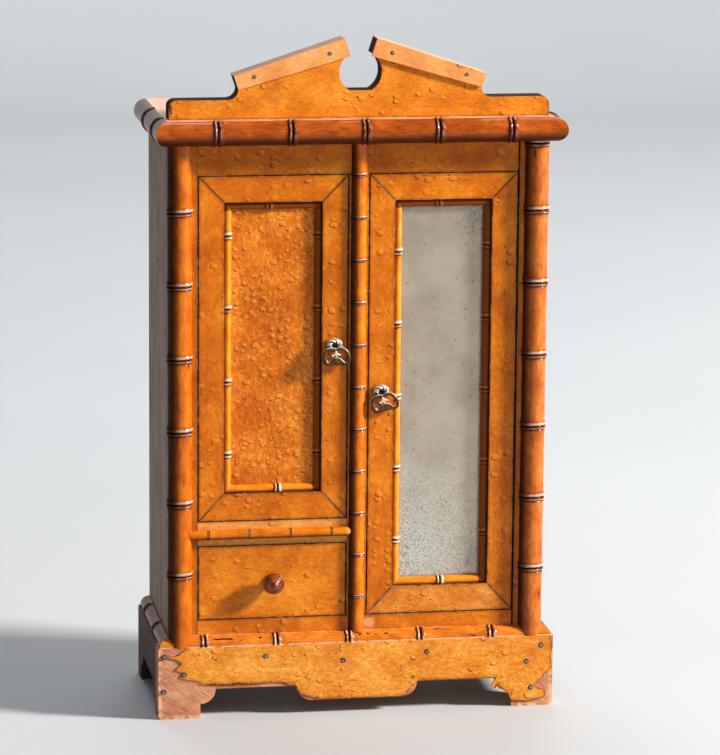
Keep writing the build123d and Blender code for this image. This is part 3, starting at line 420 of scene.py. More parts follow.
@dataclass(frozen=True)
class Veneer:
    """Varnished bird's-eye veneer: a mottled honey ground with small eyes in painted light and shade, dark
    flecks, and worn edges darkened by grime and painted shade.
    """

    grain: Grain = Grain.UPRIGHT
    dark: Colour = paint(160, 70, 4)
    ground: Colour = paint(206, 106, 8)
    light: Colour = paint(236, 146, 34)
    fleck: Colour = paint(92, 36, 8)
    eye_highlight: Colour = paint(250, 178, 84)
    blush: Colour = paint(168, 82, 44)
    worn: Colour = paint(236, 184, 124)
    grime_and_shade: Colour = paint(64, 26, 8)
    eye_size: float = 7.6
    eye_share: float = 0.62
    eye_radius: Span = (0.7, 2.1)
    eye_gather: Span = (0.4, 0.52)
    eye_strength: float = 1.0
    mottle: float = 0.4
    grit: float = 0.55
    fleck_strength: float = 0.5
    patches: tuple[Patch, ...] = ()
    rind_from: float = 1e4
    rind: Colour = paint(70, 36, 20)
    ridge: Optional[tuple[float, float, float]] = None
    ridge_tone: Colour = paint(214, 172, 150)
    shade: float = 1.0
    front: tuple[float, float, float, float] = (-1e4, 1e4, -1e4, 1e4)
    seams: tuple[Seam, ...] = ()
    worn_strength: float = 0.5
    torn: bool = False
    joint_and_gap_shade: Colour = paint(30, 13, 6)

    def eyes(self, graph: Graph) -> tuple[Field, Field, Field]:
        """Draws the small curled eyes.

        An eye is a bent, broken ring about a scattered point, drawn with painted light. Its rim is painted
        darkest where the point lies up and to the right of a place, takes a painted highlight on the other
        side, and its inside is lighter on that side.

        Args:
            graph: The material's graph.

        Returns:
            The dark rim, which is the eye's dark outline with painted shade, the painted highlight on the
            rim, and the inside.
        """
        bent = graph.noise_colour(graph.spread(), 1.9, 4.0)
        sheet = graph.pushed(graph.scaled(graph.spread(1.6, 12.0), (0.88, 1.12, 1.0)), bent, 1.25)
        distance, chance = graph.cells(sheet, self.eye_size)
        beside, _ = graph.cells(graph.moved(sheet, 0.3, 0.3, 0.0), self.eye_size)
        gathered = graph.noise(graph.spread(), 34.0, 2.0).rise(*self.eye_gather)
        chosen = chance.over(1.0 - self.eye_share) * gathered
        small, large = self.eye_radius
        radius = chance.rise(1.0 - self.eye_share, 1.0) * (large - small) + small
        share = distance / radius
        broken = graph.noise(graph.spread(), 1.3, 3.0, 0.6).rise(0.32, 0.5)
        rim = abs(share - 1.0).rise(0.36, 0.08) * chosen
        side = ((distance - beside) * 2.8).at_least(-1.0).at_most(1.0)
        dark = rim * broken * (side * 0.75 + 0.45).clamped()
        painted_lit_rim = rim * (side * -1.0).at_least(0.0)
        return dark, painted_lit_rim, share.rise(0.9, 0.2) * chosen * (side * -0.5 + 0.6).at_least(0.0)

    def edge_distance(self, graph: Graph) -> tuple[Field, Field]:
        """Measures how far a place is from the board's edges.

        Args:
            graph: The material's graph.

        Returns:
            The distances to the nearest edge of the front, and to its nearest edge or seam.
        """
        x, _, z = graph.axes()
        low_x, high_x, low_z, high_z = self.front
        edge = abs(x - low_x).at_most(abs(x - high_x)).at_most(abs(z - low_z)).at_most(abs(z - high_z))
        nearest = edge
        for seam in self.seams:
            turn = math.radians(seam.heading)
            offset = (x - seam.x) * math.sin(turn) - (z - seam.z) * math.cos(turn)
            nearest = nearest.at_most(abs(offset))
        return edge, nearest

    def mark(self, graph: Graph, patch: Patch, colour: Field) -> Field:
        """Lays a patch with a ragged outline over the colour.

        Args:
            graph: The material's graph.
            patch: The patch.
            colour: What lies under it.

        Returns:
            The colour with the patch.
        """
        x, _, z = graph.axes()
        across = (x - patch.x) / patch.wide
        up = (z - patch.z) / patch.tall
        ragged = graph.noise(graph.spread(), 3.0, 4.0, 0.6).swing(1.6)
        away = graph.math("SQRT", across * across + up * up) + ragged
        return graph.mix(away.rise(1.1, 0.75) * 0.85, colour, patch.colour)

    def bare_back(self, graph: Graph, fibre: Field, cloud: Field) -> Field:
        """Returns the uneven tone of the bare sides, dark with stain and painted shade, and paler along the
        ridge where the board has one.

        Args:
            graph: The material's graph.
            fibre: The wood's fibre, about 0.5.
            cloud: Wide soft noise, about 0.5.

        Returns:
            The colour of the bare wood.
        """
        tone = self.rind
        if self.ridge:
            top_x, top_z, fall = self.ridge
            x, _, z = graph.axes()
            below = (abs(x) - top_x) * -fall + top_z - z
            tone = graph.mix(below.rise(1.0, 0.6), self.rind, self.ridge_tone)
        uneven = (fibre * 0.5 + cloud * 0.5).rise(0.3, 0.7)
        return graph.mix(0.8, tone, graph.mix(uneven, (0.55,) * 3, (1.0,) * 3), "MULTIPLY")

    def torn_edge(self, graph: Graph, colour: Field) -> Field:
        """Darkens the sheet along its torn edge, which the piece's edge attribute measures: dirt with a
        painted shadow under the lifted edge.

        Args:
            graph: The material's graph.
            colour: The colour so far.

        Returns:
            The colour with its torn edge.
        """
        tear, _, _ = graph.attribute("edge")
        ragged = tear + graph.noise(graph.spread(), 2.2, 3.0).swing(1.4)
        patchy = graph.noise(graph.spread(), 7.0, 3.0, 0.6).rise(0.38, 0.58)
        colour = graph.mix(ragged.rise(0.7, 0.2) * (patchy * 0.55 + 0.3), colour, self.grime_and_shade)
        return graph.mix(ragged.rise(2.6, 0.6) * 0.35, colour, self.fleck)

    def make(self, name: str) -> bpy.types.Material:
        """Builds the material.

        Args:
            name: The material's name.

        Returns:
            The material.
        """
        graph = Graph(name)
        place = graph.place()
        stretch = [1.0, 1.0, 1.0]
        stretch[self.grain.value] = 0.22
        waved = graph.pushed(place, graph.noise_colour(place, 11.0), 1.8)
        fibre = graph.noise(graph.scaled(waved, stretch), 0.8, 3.0, 0.6)
        softer = [0.4 + 0.6 * part for part in stretch]
        ripple = graph.noise(graph.scaled(waved, softer), 2.6, 2.0, 0.55, 0.4)
        cloud = graph.noise(place, 26.0, 3.0, 0.5)
        dark_rim_and_shade, painted_lit_rim, inside = self.eyes(graph)
        grit = graph.noise(graph.spread(), 1.1, 3.0, 0.7)
        tone = fibre.swing(0.4) + ripple.swing(self.mottle) + cloud.swing(0.75) + grit.swing(self.grit) + 0.5
        colour = graph.shades(tone, (self.dark, self.ground, self.light), 0.3)
        blush = graph.noise(graph.moved(place, 70.0, 0.0, 30.0), 17.0, 3.0, 0.6).rise(0.54, 0.72)
        colour = graph.mix(blush * 0.4, colour, self.blush)
        # Painted light on the eyes: a lighter inside and a painted highlight on one side of the rim, and a
        # dark rim with painted shade on the other.
        colour = graph.mix(inside * 0.45, colour, self.light)
        colour = graph.mix(painted_lit_rim * 0.5 * self.eye_strength, colour, self.eye_highlight)
        colour = graph.mix(dark_rim_and_shade * 0.95 * self.eye_strength, colour, self.fleck)
        fine = graph.moved(graph.spread(), 11.0, 7.0, 0.0)
        clusters = graph.noise(graph.moved(place, 40.0, 0.0, 9.0), 13.0, 3.0).rise(0.5, 0.64)
        flecks = graph.noise(graph.scaled(fine, (0.7, 1.1, 1.0)), 1.3, 4.0, 0.7).rise(0.56, 0.66) * clusters
        colour = graph.mix(flecks * self.fleck_strength, colour, self.fleck)
        for patch in self.patches:
            colour = self.mark(graph, patch, colour)
        edge, nearest = self.edge_distance(graph)
        patchy = graph.noise(place, 9.0, 4.0, 0.6).rise(0.5, 0.62)
        # Darker near every edge and seam: grime, with painted shade in the gaps between parts.
        colour = graph.mix(nearest.rise(2.4, 0.2) * 0.35, colour, self.grime_and_shade)
        colour = graph.mix(nearest.rise(0.75, 0.35) * patchy * self.worn_strength, colour, self.worn)
        # Dark joint line along seams and edges, with painted shade in the gaps at the edges.
        joint = nearest.rise(0.46, 0.26) * (1.0 - edge.rise(0.5, 0.4) * 0.3)
        colour = graph.mix(joint * 0.95, colour, self.joint_and_gap_shade)
        if self.torn:
            colour = self.torn_edge(graph, colour)
        # The board's sides take a dark stain with painted shade.
        rind = graph.axes()[1].rise(self.rind_from, self.rind_from + 0.4)
        colour = graph.mix(rind, colour, self.bare_back(graph, fibre, cloud))
        colour = graph.mix(1.0, colour, (self.shade,) * 3, "MULTIPLY")
        height = fibre * 0.06 + inside * 0.05 - dark_rim_and_shade * 0.14 - flecks * 0.1 - joint * 0.8
        rough = graph.noise(place, 14.0, 3.0) * 0.22 + 0.26 + nearest.rise(1.5, 0.0) * 0.2 + rind * 0.5
        coat = (1.0 - rind) * 0.12
        constants = {"Coat Roughness": 0.14, "IOR": 1.45, "Specular IOR Level": 0.14}
        return graph.close(constants, height, 0.32, Base_Color=colour, Roughness=rough, Coat_Weight=coat)


@dataclass(frozen=True)
class Cane:
    """Red-brown varnish on turned bamboo, dark in the grooves, with pale rubbed collars carrying a painted
    highlight on each ring, and painted shade where it is set.
    """

    pale: Colour = paint(222, 130, 16)
    body: Colour = paint(188, 90, 5)
    deep: Colour = paint(106, 38, 3)
    groove: Colour = paint(24, 9, 5)
    wear_and_highlight_tone: Colour = paint(240, 226, 210)
    rim: float = 0.8
    crest_wear_and_highlight: float = 0.22
    scars: float = 0.71
    worn_wraps: tuple[float, ...] = ()
    marks: tuple[tuple[float, float, float, float], ...] = ()
    painted_highlight: float = 0.0
    # Painted shade: spans in x and in z, each from its dark end to its clean end, and the colour of the
    # shade.
    painted_shade_x: Optional[Span] = None
    painted_shade_z: Optional[Span] = None
    painted_shade_tone: Colour = paint(40, 14, 5)

    def scarred(self, graph: Graph, run: Field, wrap: Field, colour: Field) -> Field:
        """Lays the gouges and the bare edges over the colour.

        Args:
            graph: The material's graph.
            run: The place along the rod.
            wrap: The place round the rod.
            colour: What lies under them.

        Returns:
            The colour with them.
        """
        for middle_run, middle_wrap, long, wide in self.marks:
            across = (run - middle_run) / long
            around = (wrap - middle_wrap) / wide
            ragged = graph.noise(graph.vector(run * 0.5, wrap, 2.0), 1.6, 3.0, 0.6).swing(1.8)
            gouge = (graph.math("SQRT", across * across + around * around) + ragged).rise(1.0, 0.6)
            colour = graph.mix(gouge * 0.95, colour, self.groove)
        for edge in self.worn_wraps:
            patchy = graph.noise(graph.vector(run, edge, 0.0), 8.0, 4.0, 0.6).rise(0.4, 0.5)
            bare = abs(wrap - edge).rise(0.75, 0.3) * patchy
            colour = graph.mix(bare * 0.75, colour, self.wear_and_highlight_tone)
        return colour

    def make(self, name: str) -> bpy.types.Material:
        """Builds the material, which reads the rod's own run, wrap, ring distance and side of the ring.

        Args:
            name: The material's name.

        Returns:
            The material.
        """
        graph = Graph(name)
        run, wrap, reach = graph.attribute("cane")
        side, _, _ = graph.attribute("side")
        before = side.rise(0.1, -0.1)
        streak = graph.noise(graph.vector(run * 0.11, wrap, 0.0), 1.1, 4.0, 0.6)
        cloud = graph.noise(graph.vector(run, wrap * 1.5, 3.0), 13.0, 3.0, 0.55, 0.4)
        colour = graph.shades(streak.swing(0.6) + cloud.swing(0.75) + 0.5, (self.deep, self.body, self.pale))
        ragged = graph.noise(graph.vector(run, wrap, 8.0), 3.2, 3.0) - 0.5
        stain = (reach + ragged * 3.0).rise(6.5, 2.6)
        colour = graph.mix(stain * 0.55, colour, self.deep)
        scar = graph.noise(graph.vector(run * 0.2, wrap, 5.0), 3.0, 2.0, 0.5, 0.3)
        scar = scar.rise(self.scars, self.scars + 0.05)
        colour = graph.mix(scar * 0.85, colour, self.groove)
        colour = self.scarred(graph, run, wrap, colour)
        side_groove = abs(reach - 3.2).rise(0.7, 0.15) * self.rim * before
        cut = side_groove.at_least(reach.rise(1.0, 0.4))
        crest = abs(reach - 1.7).rise(1.1, 0.3)
        rubbed = graph.noise(graph.vector(run, wrap, 1.0), 3.4, 2.0).rise(0.42, 0.62)
        colour = graph.mix(crest * 0.45, colour, self.deep)
        colour = graph.mix(cut * 0.97, colour, self.groove)
        # Pale crests on the collars: rubbed wear with a painted highlight.
        colour = graph.mix(abs(reach - 1.7).rise(0.8, 0.2) * rubbed * self.crest_wear_and_highlight, colour, self.wear_and_highlight_tone)
        coat = crest * 0.7 + 0.3
        # Painted highlight: a broad pale band on the shoulder after each ring.
        if self.painted_highlight:
            highlight_band = abs(reach - 2.1).rise(1.5, 0.5) * (1.0 - before) * (streak.rise(0.35, 0.6) * 0.5 + 0.5)
            colour = graph.mix(highlight_band * self.painted_highlight, colour, self.wear_and_highlight_tone)
        # Painted shade: darkens the colour and dulls the coat over each span, towards its dark end.
        x, _, z = graph.axes()
        for part, span in ((x, self.painted_shade_x), (z, self.painted_shade_z)):
            if span:
                dark_at, clean_at = span
                shade_mask = part.rise(clean_at, dark_at)
                colour = graph.mix(shade_mask * 0.92, colour, self.painted_shade_tone)
                coat = coat * (1.0 - shade_mask * 0.85)
        rough = 0.28 + cloud.swing(0.2) - crest * 0.12 + cut * 0.3 + scar * 0.2
        height = streak * 0.05 - scar * 0.1
        constants = {"Coat Roughness": 0.1, "IOR": 1.4, "Specular IOR Level": 0.08}
        return graph.close(constants, height, 0.3, Base_Color=colour, Roughness=rough, Coat_Weight=coat)


@dataclass(frozen=True)
class PlainWood:
    """Unvarnished or stained board: long fibres, pores and stains."""

    grain: Grain = Grain.UPRIGHT
    dark: Colour = paint(120, 80, 52)
    ground: Colour = paint(176, 124, 86)
    light: Colour = paint(206, 156, 116)
    fibre_size: float = 0.8
    roughness: float = 0.7
    coat: float = 0.0
    relief: float = 0.5
    scratch: float = 0.3
    banding: float = 0.6
    slant: float = 0.0
    rubbed_half: float = 0.0
    rubbed_tone: Colour = paint(250, 204, 156)

    def make(self, name: str) -> bpy.types.Material:
        """Builds the material.

        Args:
            name: The material's name.

        Returns:
            The material.
        """
        graph = Graph(name)
        place = graph.place()
        if self.slant:
            inputs = {"Vector": place, "Angle": math.radians(self.slant)}
            node = graph.node("ShaderNodeVectorRotate", {"rotation_type": "Y_AXIS"}, inputs)
            place = Field(graph, node.outputs[0])
        stretch = [1.0, 1.0, 1.0]
        stretch[self.grain.value] = 0.07
        waved = graph.pushed(place, graph.noise_colour(place, 26.0), 2.4)
        along = graph.scaled(waved, stretch)
        fibre = graph.noise(along, self.fibre_size, 4.0, 0.65)
        band = graph.noise(along, 5.0, 3.0, 0.5, 0.4)
        cloud = graph.noise(place, 24.0, 3.0, 0.55)
        closer = [1.0 + 0.6 * part for part in stretch]
        pore = graph.noise(graph.scaled(place, closer), 0.55, 1.0).rise(0.63, 0.72)
        tone = fibre.swing(1.1) + band.swing(self.banding) + cloud.swing(0.7) + 0.5
        colour = graph.shades(tone, (self.dark, self.ground, self.light))
        colour = graph.mix(pore * self.scratch, colour, self.dark)
        if self.rubbed_half:
            x, _, z = graph.axes()
            edge = (self.rubbed_half - abs(x)).at_most(z)
            patchy = graph.noise(graph.place(), 5.0, 4.0, 0.65).rise(0.4, 0.56)
            rubbed = edge.rise(4.0, 0.6) * edge.rise(0.02, 0.3)
            colour = graph.mix(rubbed * patchy * 0.7, colour, self.rubbed_tone)
        rough = self.roughness + cloud.swing(0.2)
        constants = {"Coat Weight": self.coat, "Coat Roughness": 0.3, "IOR": 1.45, "Specular IOR Level": 0.25}
        height = fibre * 0.3 - pore * 0.2
        return graph.close(constants, height, self.relief, Base_Color=colour, Roughness=rough)


@dataclass(frozen=True)
class Metal:
    """Aged metal, dark in the hollows, bright on rubbed crests and with a painted highlight on faces that
    look up.
    """

    dark: Colour = paint(34, 25, 14)
    ground: Colour = paint(94, 70, 40)
    bright: Colour = paint(246, 240, 226)
    metallic: float = 0.6
    roughness: float = 0.34

    def make(self, name: str) -> bpy.types.Material:
        """Builds the material, which reads the piece's own value of rubbed wear and painted highlight, 0 in
        hollows and 1 on rubbed crests and on faces with a painted highlight.

        Args:
            name: The material's name.

        Returns:
            The material.
        """
        graph = Graph(name)
        wear_and_highlight, _, _ = graph.attribute("wear_and_highlight")
        place = graph.place()
        cloud = graph.noise(place, 2.2, 4.0, 0.6)
        fine = graph.noise(place, 0.45, 3.0, 0.6)
        tone = wear_and_highlight * 0.85 + cloud.swing(0.7) + fine.swing(0.3) + 0.1
        colour = graph.ramp(tone, ((0.1, self.dark), (0.45, self.ground), (0.85, self.bright)))
        rough = self.roughness + cloud.swing(0.35) - wear_and_highlight * 0.1
        metallic = self.metallic - cloud.swing(0.3)
        height = fine * 0.12 + cloud * 0.2
        return graph.close({"IOR": 1.5}, height, 0.5, Base_Color=colour, Roughness=rough, Metallic=metallic)


@dataclass(frozen=True)
class OldMirror:
    """Foxed silvering: hazy grey with black specks near the top and mottled cloud near the foot."""

    silver: Colour = paint(196, 182, 164)
    haze: Colour = paint(160, 144, 126)
    speck: Colour = paint(30, 26, 22)
    bloom: Colour = paint(214, 214, 202)
    pepper: Colour = paint(92, 90, 82)
    glitter: Colour = paint(236, 236, 226)
    low: float = 97.0
    high: float = 374.0
    left: float = 31.0
    right: float = 93.0

    def make(self, name: str) -> bpy.types.Material:
        """Builds the material.

        Args:
            name: The material's name.

        Returns:
            The material.
        """
        graph = Graph(name)
        x, _, z = graph.axes()
        place = graph.place()
        up = (z - self.low) / (self.high - self.low)
        cloud = graph.noise(place, 30.0, 4.0, 0.6)
        mottle = graph.noise(place, 3.4, 5.0, 0.65, 0.5)
        across = (x - self.left) / (self.right - self.left)
        foot = up.rise(0.46, 0.04)
        crown = (up.rise(0.8, 0.96) * across.rise(0.5, 0.9)).at_least(up.rise(0.96, 1.0) * 0.8)
        grain = graph.noise(place, 1.05, 4.0, 0.75)
        specks = (grain + crown * 0.13).rise(0.66, 0.7) * crown.rise(0.0, 0.3)
        rare, luck = graph.cells(graph.moved(graph.spread(1.0, 3.0), 7.0, 3.0, 0.0), 6.0)
        spots = rare.rise(0.75, 0.3) * luck.over(0.86)
        blotch = mottle.rise(0.52, 0.62) * foot
        beside = abs(x - self.left).at_most(abs(x - self.right))
        edge = beside.at_most(abs(z - self.low)).at_most(abs(z - self.high))
        rim = (edge + mottle.swing(4.0)).rise(3.2, 0.4)
        colour = graph.mix(cloud.rise(0.35, 0.7) * 0.6, self.silver, self.haze)
        colour = graph.mix(foot * across.rise(1.0, 0.3) * 0.8, colour, self.bloom)
        peppered = foot * (1.0 - across * 0.6) + 0.12
        colour = graph.mix(grain.rise(0.5, 0.38) * peppered * 0.8, colour, self.pepper)
        colour = graph.mix(grain.rise(0.55, 0.66) * peppered * 0.6, colour, self.glitter)
        dark = specks.at_least(spots * 0.8).at_least(rim * 0.6)
        colour = graph.mix(dark * 0.85, colour, self.speck)
        rough = 0.3 + cloud * 0.1 + blotch * 0.25 + dark * 0.4
        metallic = 0.72 - dark * 0.6 - blotch * 0.2
        constants = {"IOR": 1.5, "Coat Weight": 0.3, "Coat Roughness": 0.03}
        return graph.close(constants, None, 0.0, Base_Color=colour, Roughness=rough, Metallic=metallic)


@dataclass(frozen=True)
class Matte:
    """Plain matte ground of the studio."""

    colour: Colour = paint(176, 180, 184)

    def make(self, name: str) -> bpy.types.Material:
        """Builds the material.

        Args:
            name: Name to give it.

        Returns:
            The material.
        """
        graph = Graph(name)
        cloud = graph.noise(graph.place(), 600.0, 2.0)
        colour = graph.mix(cloud * 0.12, self.colour, (1.0, 1.0, 1.0))
        return graph.close({"Roughness": 0.8}, None, 0.0, Base_Color=colour)


# ---------------------------------------------------------------- surfaces
@dataclass
class Surface:
    """A closed mesh in millimetres: points (n, 3), faces, and a vector per point for each named value."""

    points: np.ndarray
    faces: list[list[int]]
    values: dict[str, np.ndarray] = field(default_factory=dict)

    @staticmethod
    def joined(parts: Iterable["Surface"]) -> "Surface":
        """Puts several surfaces into one mesh.

        Args:
            parts: The surfaces to join.

        Returns:
            One surface.
        """
        parts = list(parts)
        starts = np.cumsum([0] + [len(part.points) for part in parts[:-1]])
        faces = [
            [index + int(start) for index in face]
            for part, start in zip(parts, starts)
            for face in part.faces
        ]
        names = parts[0].values.keys()
        values = {name: np.concatenate([part.values[name] for part in parts]) for name in names}
        return Surface(np.concatenate([part.points for part in parts]), faces, values)


def grid_faces(rows: int, columns: int, wrapped: bool = True) -> list[list[int]]:
    """Lists the quads of a grid of points, row after row.

    Args:
        rows: How many rows.
        columns: How many points in a row.
        wrapped: Whether the last column joins the first.

    Returns:
        Four point numbers for each quad.
    """
    row = np.arange(rows - 1)[:, None] * columns
    column = np.arange(columns if wrapped else columns - 1)[None, :]
    ahead = (column + 1) % columns
    corners = (row + column, row + ahead, row + columns + ahead, row + columns + column)
    return np.stack(corners, -1).reshape(-1, 4).tolist()


def closed_faces(rows: int, columns: int) -> list[list[int]]:
    """Lists the quads of a wrapped grid and the flat caps at its two ends."""
    caps = [list(range(columns))[::-1], list(range((rows - 1) * columns, rows * columns))]
    return grid_faces(rows, columns) + caps


def thrice(values: np.ndarray) -> np.ndarray:
    """Returns one value per point as a vector of three equal parts."""
    return np.repeat(np.asarray(values, float).reshape(-1, 1), 3, axis=1)


def bell(offset: np.ndarray, half_width: float) -> np.ndarray:
    """A rounded bump: half of one plus the cosine over its width, and 0 outside it."""
    return np.where(np.abs(offset) < half_width, 0.5 + 0.5 * np.cos(np.pi * offset / half_width), 0.0)


class Section(Enum):
    """The cross-section of a cane rod: the arc that shows, in degrees.

    A bead is a half round with a square back. Its arc is a hair longer than the half's, because members of an
    Enum with one value would be one member.
    """

    ROUND = (0.0, 360.0)
    HALF = (0.0, 180.0)
    QUARTER = (0.0, 90.0)
    BEAD = (0.0, 180.01)


@dataclass
class CaneRod:
    """A turned bamboo rod of any section, with square or mitred ends."""

    start: Sequence[float]
    run: Sequence[float]
    right: Sequence[float]
    out: Sequence[float]
    length: float
    radius: float
    rings: Sequence[float]
    ring_scale: float = 1.0
    section: Section = Section.ROUND
    sides: int = 40
    backing: float = 0.0
    low_end: tuple[float, float, float] = (0.0, 0.0, 0.0)
    high_end: tuple[float, float, float] = (0.0, 0.0, 0.0)
    lean: float = 0.0
    swelling: float = 0.3
    collar: float = 0.86
    cut: float = 0.5
    round_low: float = 0.0
    round_high: float = 0.0

    def ring_offsets(self, run: np.ndarray) -> np.ndarray:
        """Returns the signed distance from the nearest ring to each place on the run, in ring widths."""
        offsets = run[:, None] - np.asarray(self.rings, float)[None, :]
        nearest = np.abs(offsets).argmin(axis=1)
        return offsets[np.arange(len(run)), nearest] / self.ring_scale

    def profile(self, offset: np.ndarray) -> np.ndarray:
        """Radius of the rod at a signed distance from a ring.

        The plain radius, plus a wide low swelling at the ring, plus a narrow round collar before the middle
        and a shoulder after it that dies away slowly, less a narrow groove in the middle and one before the
        collar.

        Args:
            offset: Signed distances from the nearest ring, in ring widths.

        Returns:
            The radius at each of them.
        """
        swell = self.swelling * np.exp(-((offset / 6.5) ** 2))
        fading = np.exp(-(((offset - 1.7) / 1.8) ** 2))
        shoulder = np.where(offset < 1.7, bell(offset - 1.7, 1.5), fading)
        collars = self.collar * (bell(offset + 1.7, 1.5) + shoulder)
        grooves = self.cut * (bell(offset, 0.6) + 0.7 * bell(offset + 3.2, 0.6))
        return self.radius + self.ring_scale * (swell + collars - grooves)

    def end_share(self, run: np.ndarray) -> np.ndarray:
        """Share of the radius near a rounded end: a quarter ellipse over the end's length, else 1.

        Args:
            run: Places along the rod.

        Returns:
            The share at each place.
        """
        share = np.ones_like(run)
        for reach, away in ((self.round_low, run), (self.round_high, self.length - run)):
            if reach:
                share *= np.sqrt(np.clip(1.0 - (1.0 - np.clip(away / reach, 0.0, 1.0)) ** 2, 0.004, 1.0))
        return share

    def runs(self) -> np.ndarray:
        """Returns places along the rod: close together at each ring, wide apart between rings.

        Returns:
            The places, in order.
        """
        rings = np.asarray(self.rings, float)
        near = np.linspace(-5.0, 6.0, 49) * self.ring_scale
        at_rings = (rings[:, None] + near[None, :]).ravel()
        plain = np.linspace(0.0, self.length, max(2, int(self.length / 4.0)))
        gaps = np.abs(plain[:, None] - rings[None, :]).min(axis=1)
        plain = plain[gaps > 6.1 * self.ring_scale]
        curve = 1.0 - np.cos(np.linspace(0.0, np.pi / 2, 10))
        ends = [[0.0, self.length], self.round_low * curve, self.length - self.round_high * curve]
        places = np.unique(np.concatenate([at_rings, plain, *ends]))
        return places[(places >= 0.0) & (places <= self.length)]

    def surface(self) -> Surface:
        """Builds the rod.

        A point lies at start + s run + r cos(a) right + r sin(a) out, with s along the rod, a round the
        section's arc and r the profile at s. A mitred end keeps s between two planes, each of them a
        constant plus a share of the point's place along right and out.

        Returns:
            The rod, with its cane attribute (run, wrap and distance to the ring) and the side of the ring.
        """
        run = self.runs()
        low, high = (math.radians(angle) for angle in self.section.value)
        angle = np.linspace(low, high, self.sides, endpoint=self.section is not Section.ROUND)
        offset = self.ring_offsets(run)
        taper = self.end_share(run)[:, None]
        radius = self.profile(offset)[:, None] * taper
        across = radius * np.cos(angle)
        outward = radius * np.sin(angle)
        if self.section is Section.QUARTER:
            across = np.hstack([across, np.zeros_like(taper)])
            outward = np.hstack([outward, np.zeros_like(taper)])
        if self.section is Section.BEAD:
            corner = self.radius * taper
            depth = -self.backing * (0.5 + 0.5 * taper)
            across = np.hstack([across, -corner, corner])
            outward = np.hstack([outward, depth, depth])
        columns = across.shape[1]
        lowest, highest = (
            base + share * across + rise * outward for base, share, rise in (self.low_end, self.high_end)
        )
        along = np.minimum(np.maximum(run[:, None], lowest), self.length + highest)
        parts = zip((along, across, outward), (self.run, self.right, self.out))
        shifts = (part[..., None] * np.asarray(way, float) for part, way in parts)
        points = np.asarray(self.start, float) + sum(shifts)
        wrap = np.zeros(columns)
        wrap[: len(angle)] = angle * self.radius
        cane = np.broadcast_arrays(along + self.lean, wrap, np.abs(offset)[:, None])
        side = np.repeat(np.clip(offset, -1.0, 1.0) * np.exp(-((offset / 8.0) ** 2)), columns)
        values = {"cane": np.stack(cane, -1).reshape(-1, 3), "side": thrice(side)}
        return Surface(points.reshape(-1, 3), closed_faces(len(run), columns), values)


def lathe(profile: Sequence[Point], centre: Sequence[float], sides: int) -> Surface:
    """Turns a profile of (radius, reach) about a line that leaves the centre towards the front, -Y.

    A point lies at centre + (r cos a, -reach, r sin a). Both ends are closed by flat caps.

    Args:
        profile: Radius and reach of each row.
        centre: Where the line starts.
        sides: Points round the circle.

    Returns:
        The turned surface.
    """
    radius, reach = (np.asarray(part, float)[:, None] for part in zip(*profile))
    angle = np.linspace(0.0, TAU, sides, endpoint=False)
    rings = np.broadcast_arrays(radius * np.cos(angle), -reach, radius * np.sin(angle))
    points = np.stack(rings, -1).reshape(-1, 3) + np.asarray(centre, float)
    return Surface(points, closed_faces(len(radius), sides))


def smooth_profile(points: Sequence[Point], steps: int = 8) -> list[Point]:
    """Runs a Catmull-Rom curve through the points.

    Each stretch blends its two ends and their two neighbours by cubics.

    Args:
        points: The points, in order.
        steps: How many points each stretch gets.

    Returns:
        The points of the curve.
    """
    knots = np.asarray(points, float)
    padded = np.concatenate([2 * knots[:1] - knots[1:2], knots, 2 * knots[-1:] - knots[-2:-1]])
    t = np.linspace(0.0, 1.0, steps, endpoint=False)[None, :, None]
    a, b, c, d = (padded[shift : len(padded) - 3 + shift, None, :] for shift in range(4))
    curve = 0.5 * (2 * b + (c - a) * t + (2 * a - 5 * b + 4 * c - d) * t**2 + (3 * b - a - 3 * c + d) * t**3)
    return [tuple(point) for point in np.concatenate([curve.reshape(-1, 2), knots[-1:]])]


def tube(
    path: np.ndarray, radius: np.ndarray, side: np.ndarray, sides: int = 20, looped: bool = False,
    highlight_by_facing: tuple[float, float, float] = (0.62, 0.28, 0.12),
) -> Surface:
    """Carries a circle along a path.

    Args:
        path: Points of the middle line, in order.
        radius: Radius of the tube at each point.
        side: A direction at each point that the circle's first axis leans to.
        sides: Points round the circle.
        looped: Whether the path closes on itself.
        highlight_by_facing: How bright the metal is made on its upper side, on its front and everywhere: a
            painted highlight together with the rubbing.

    Returns:
        The tube. Its first axis is the side direction less its share along the path, its second is square to
        both, and a point lies at path + r cos(a) first + r sin(a) second. An open tube ends in flat caps.
    """
    if looped:
        heading = np.roll(path, -1, axis=0) - np.roll(path, 1, axis=0)
    else:
        heading = np.gradient(path, axis=0)
    heading /= np.linalg.norm(heading, axis=1, keepdims=True)
    side = np.broadcast_to(side, path.shape)
    first = side - (side * heading).sum(axis=1, keepdims=True) * heading
    first /= np.linalg.norm(first, axis=1, keepdims=True)
    second = np.cross(heading, first)
    angle = np.linspace(0.0, TAU, sides, endpoint=False)[None, :, None]
    swing = np.cos(angle) * first[:, None, :] + np.sin(angle) * second[:, None, :]
    points = path[:, None, :] + np.asarray(radius, float)[:, None, None] * swing
    faces = closed_faces(len(path), sides)
    if looped:
        last = (len(path) - 1) * sides
        faces[-2:] = [[last + i, last + (i + 1) % sides, (i + 1) % sides, i] for i in range(sides)]
    # Painted highlight: faces that look up, and faces that look forward by their share, are made brighter,
    # together with the rubbing.
    above, before, everywhere = highlight_by_facing
    rubbed = swing[..., 2] * above - swing[..., 1] * before + everywhere
    return Surface(points.reshape(-1, 3), faces, {"wear_and_highlight": thrice(np.clip(rubbed, 0.0, 1.0))})


class Finish(Protocol):
    """Anything that can make a material."""

    def make(self, name: str) -> bpy.types.Material:
        """Builds the material of that name."""


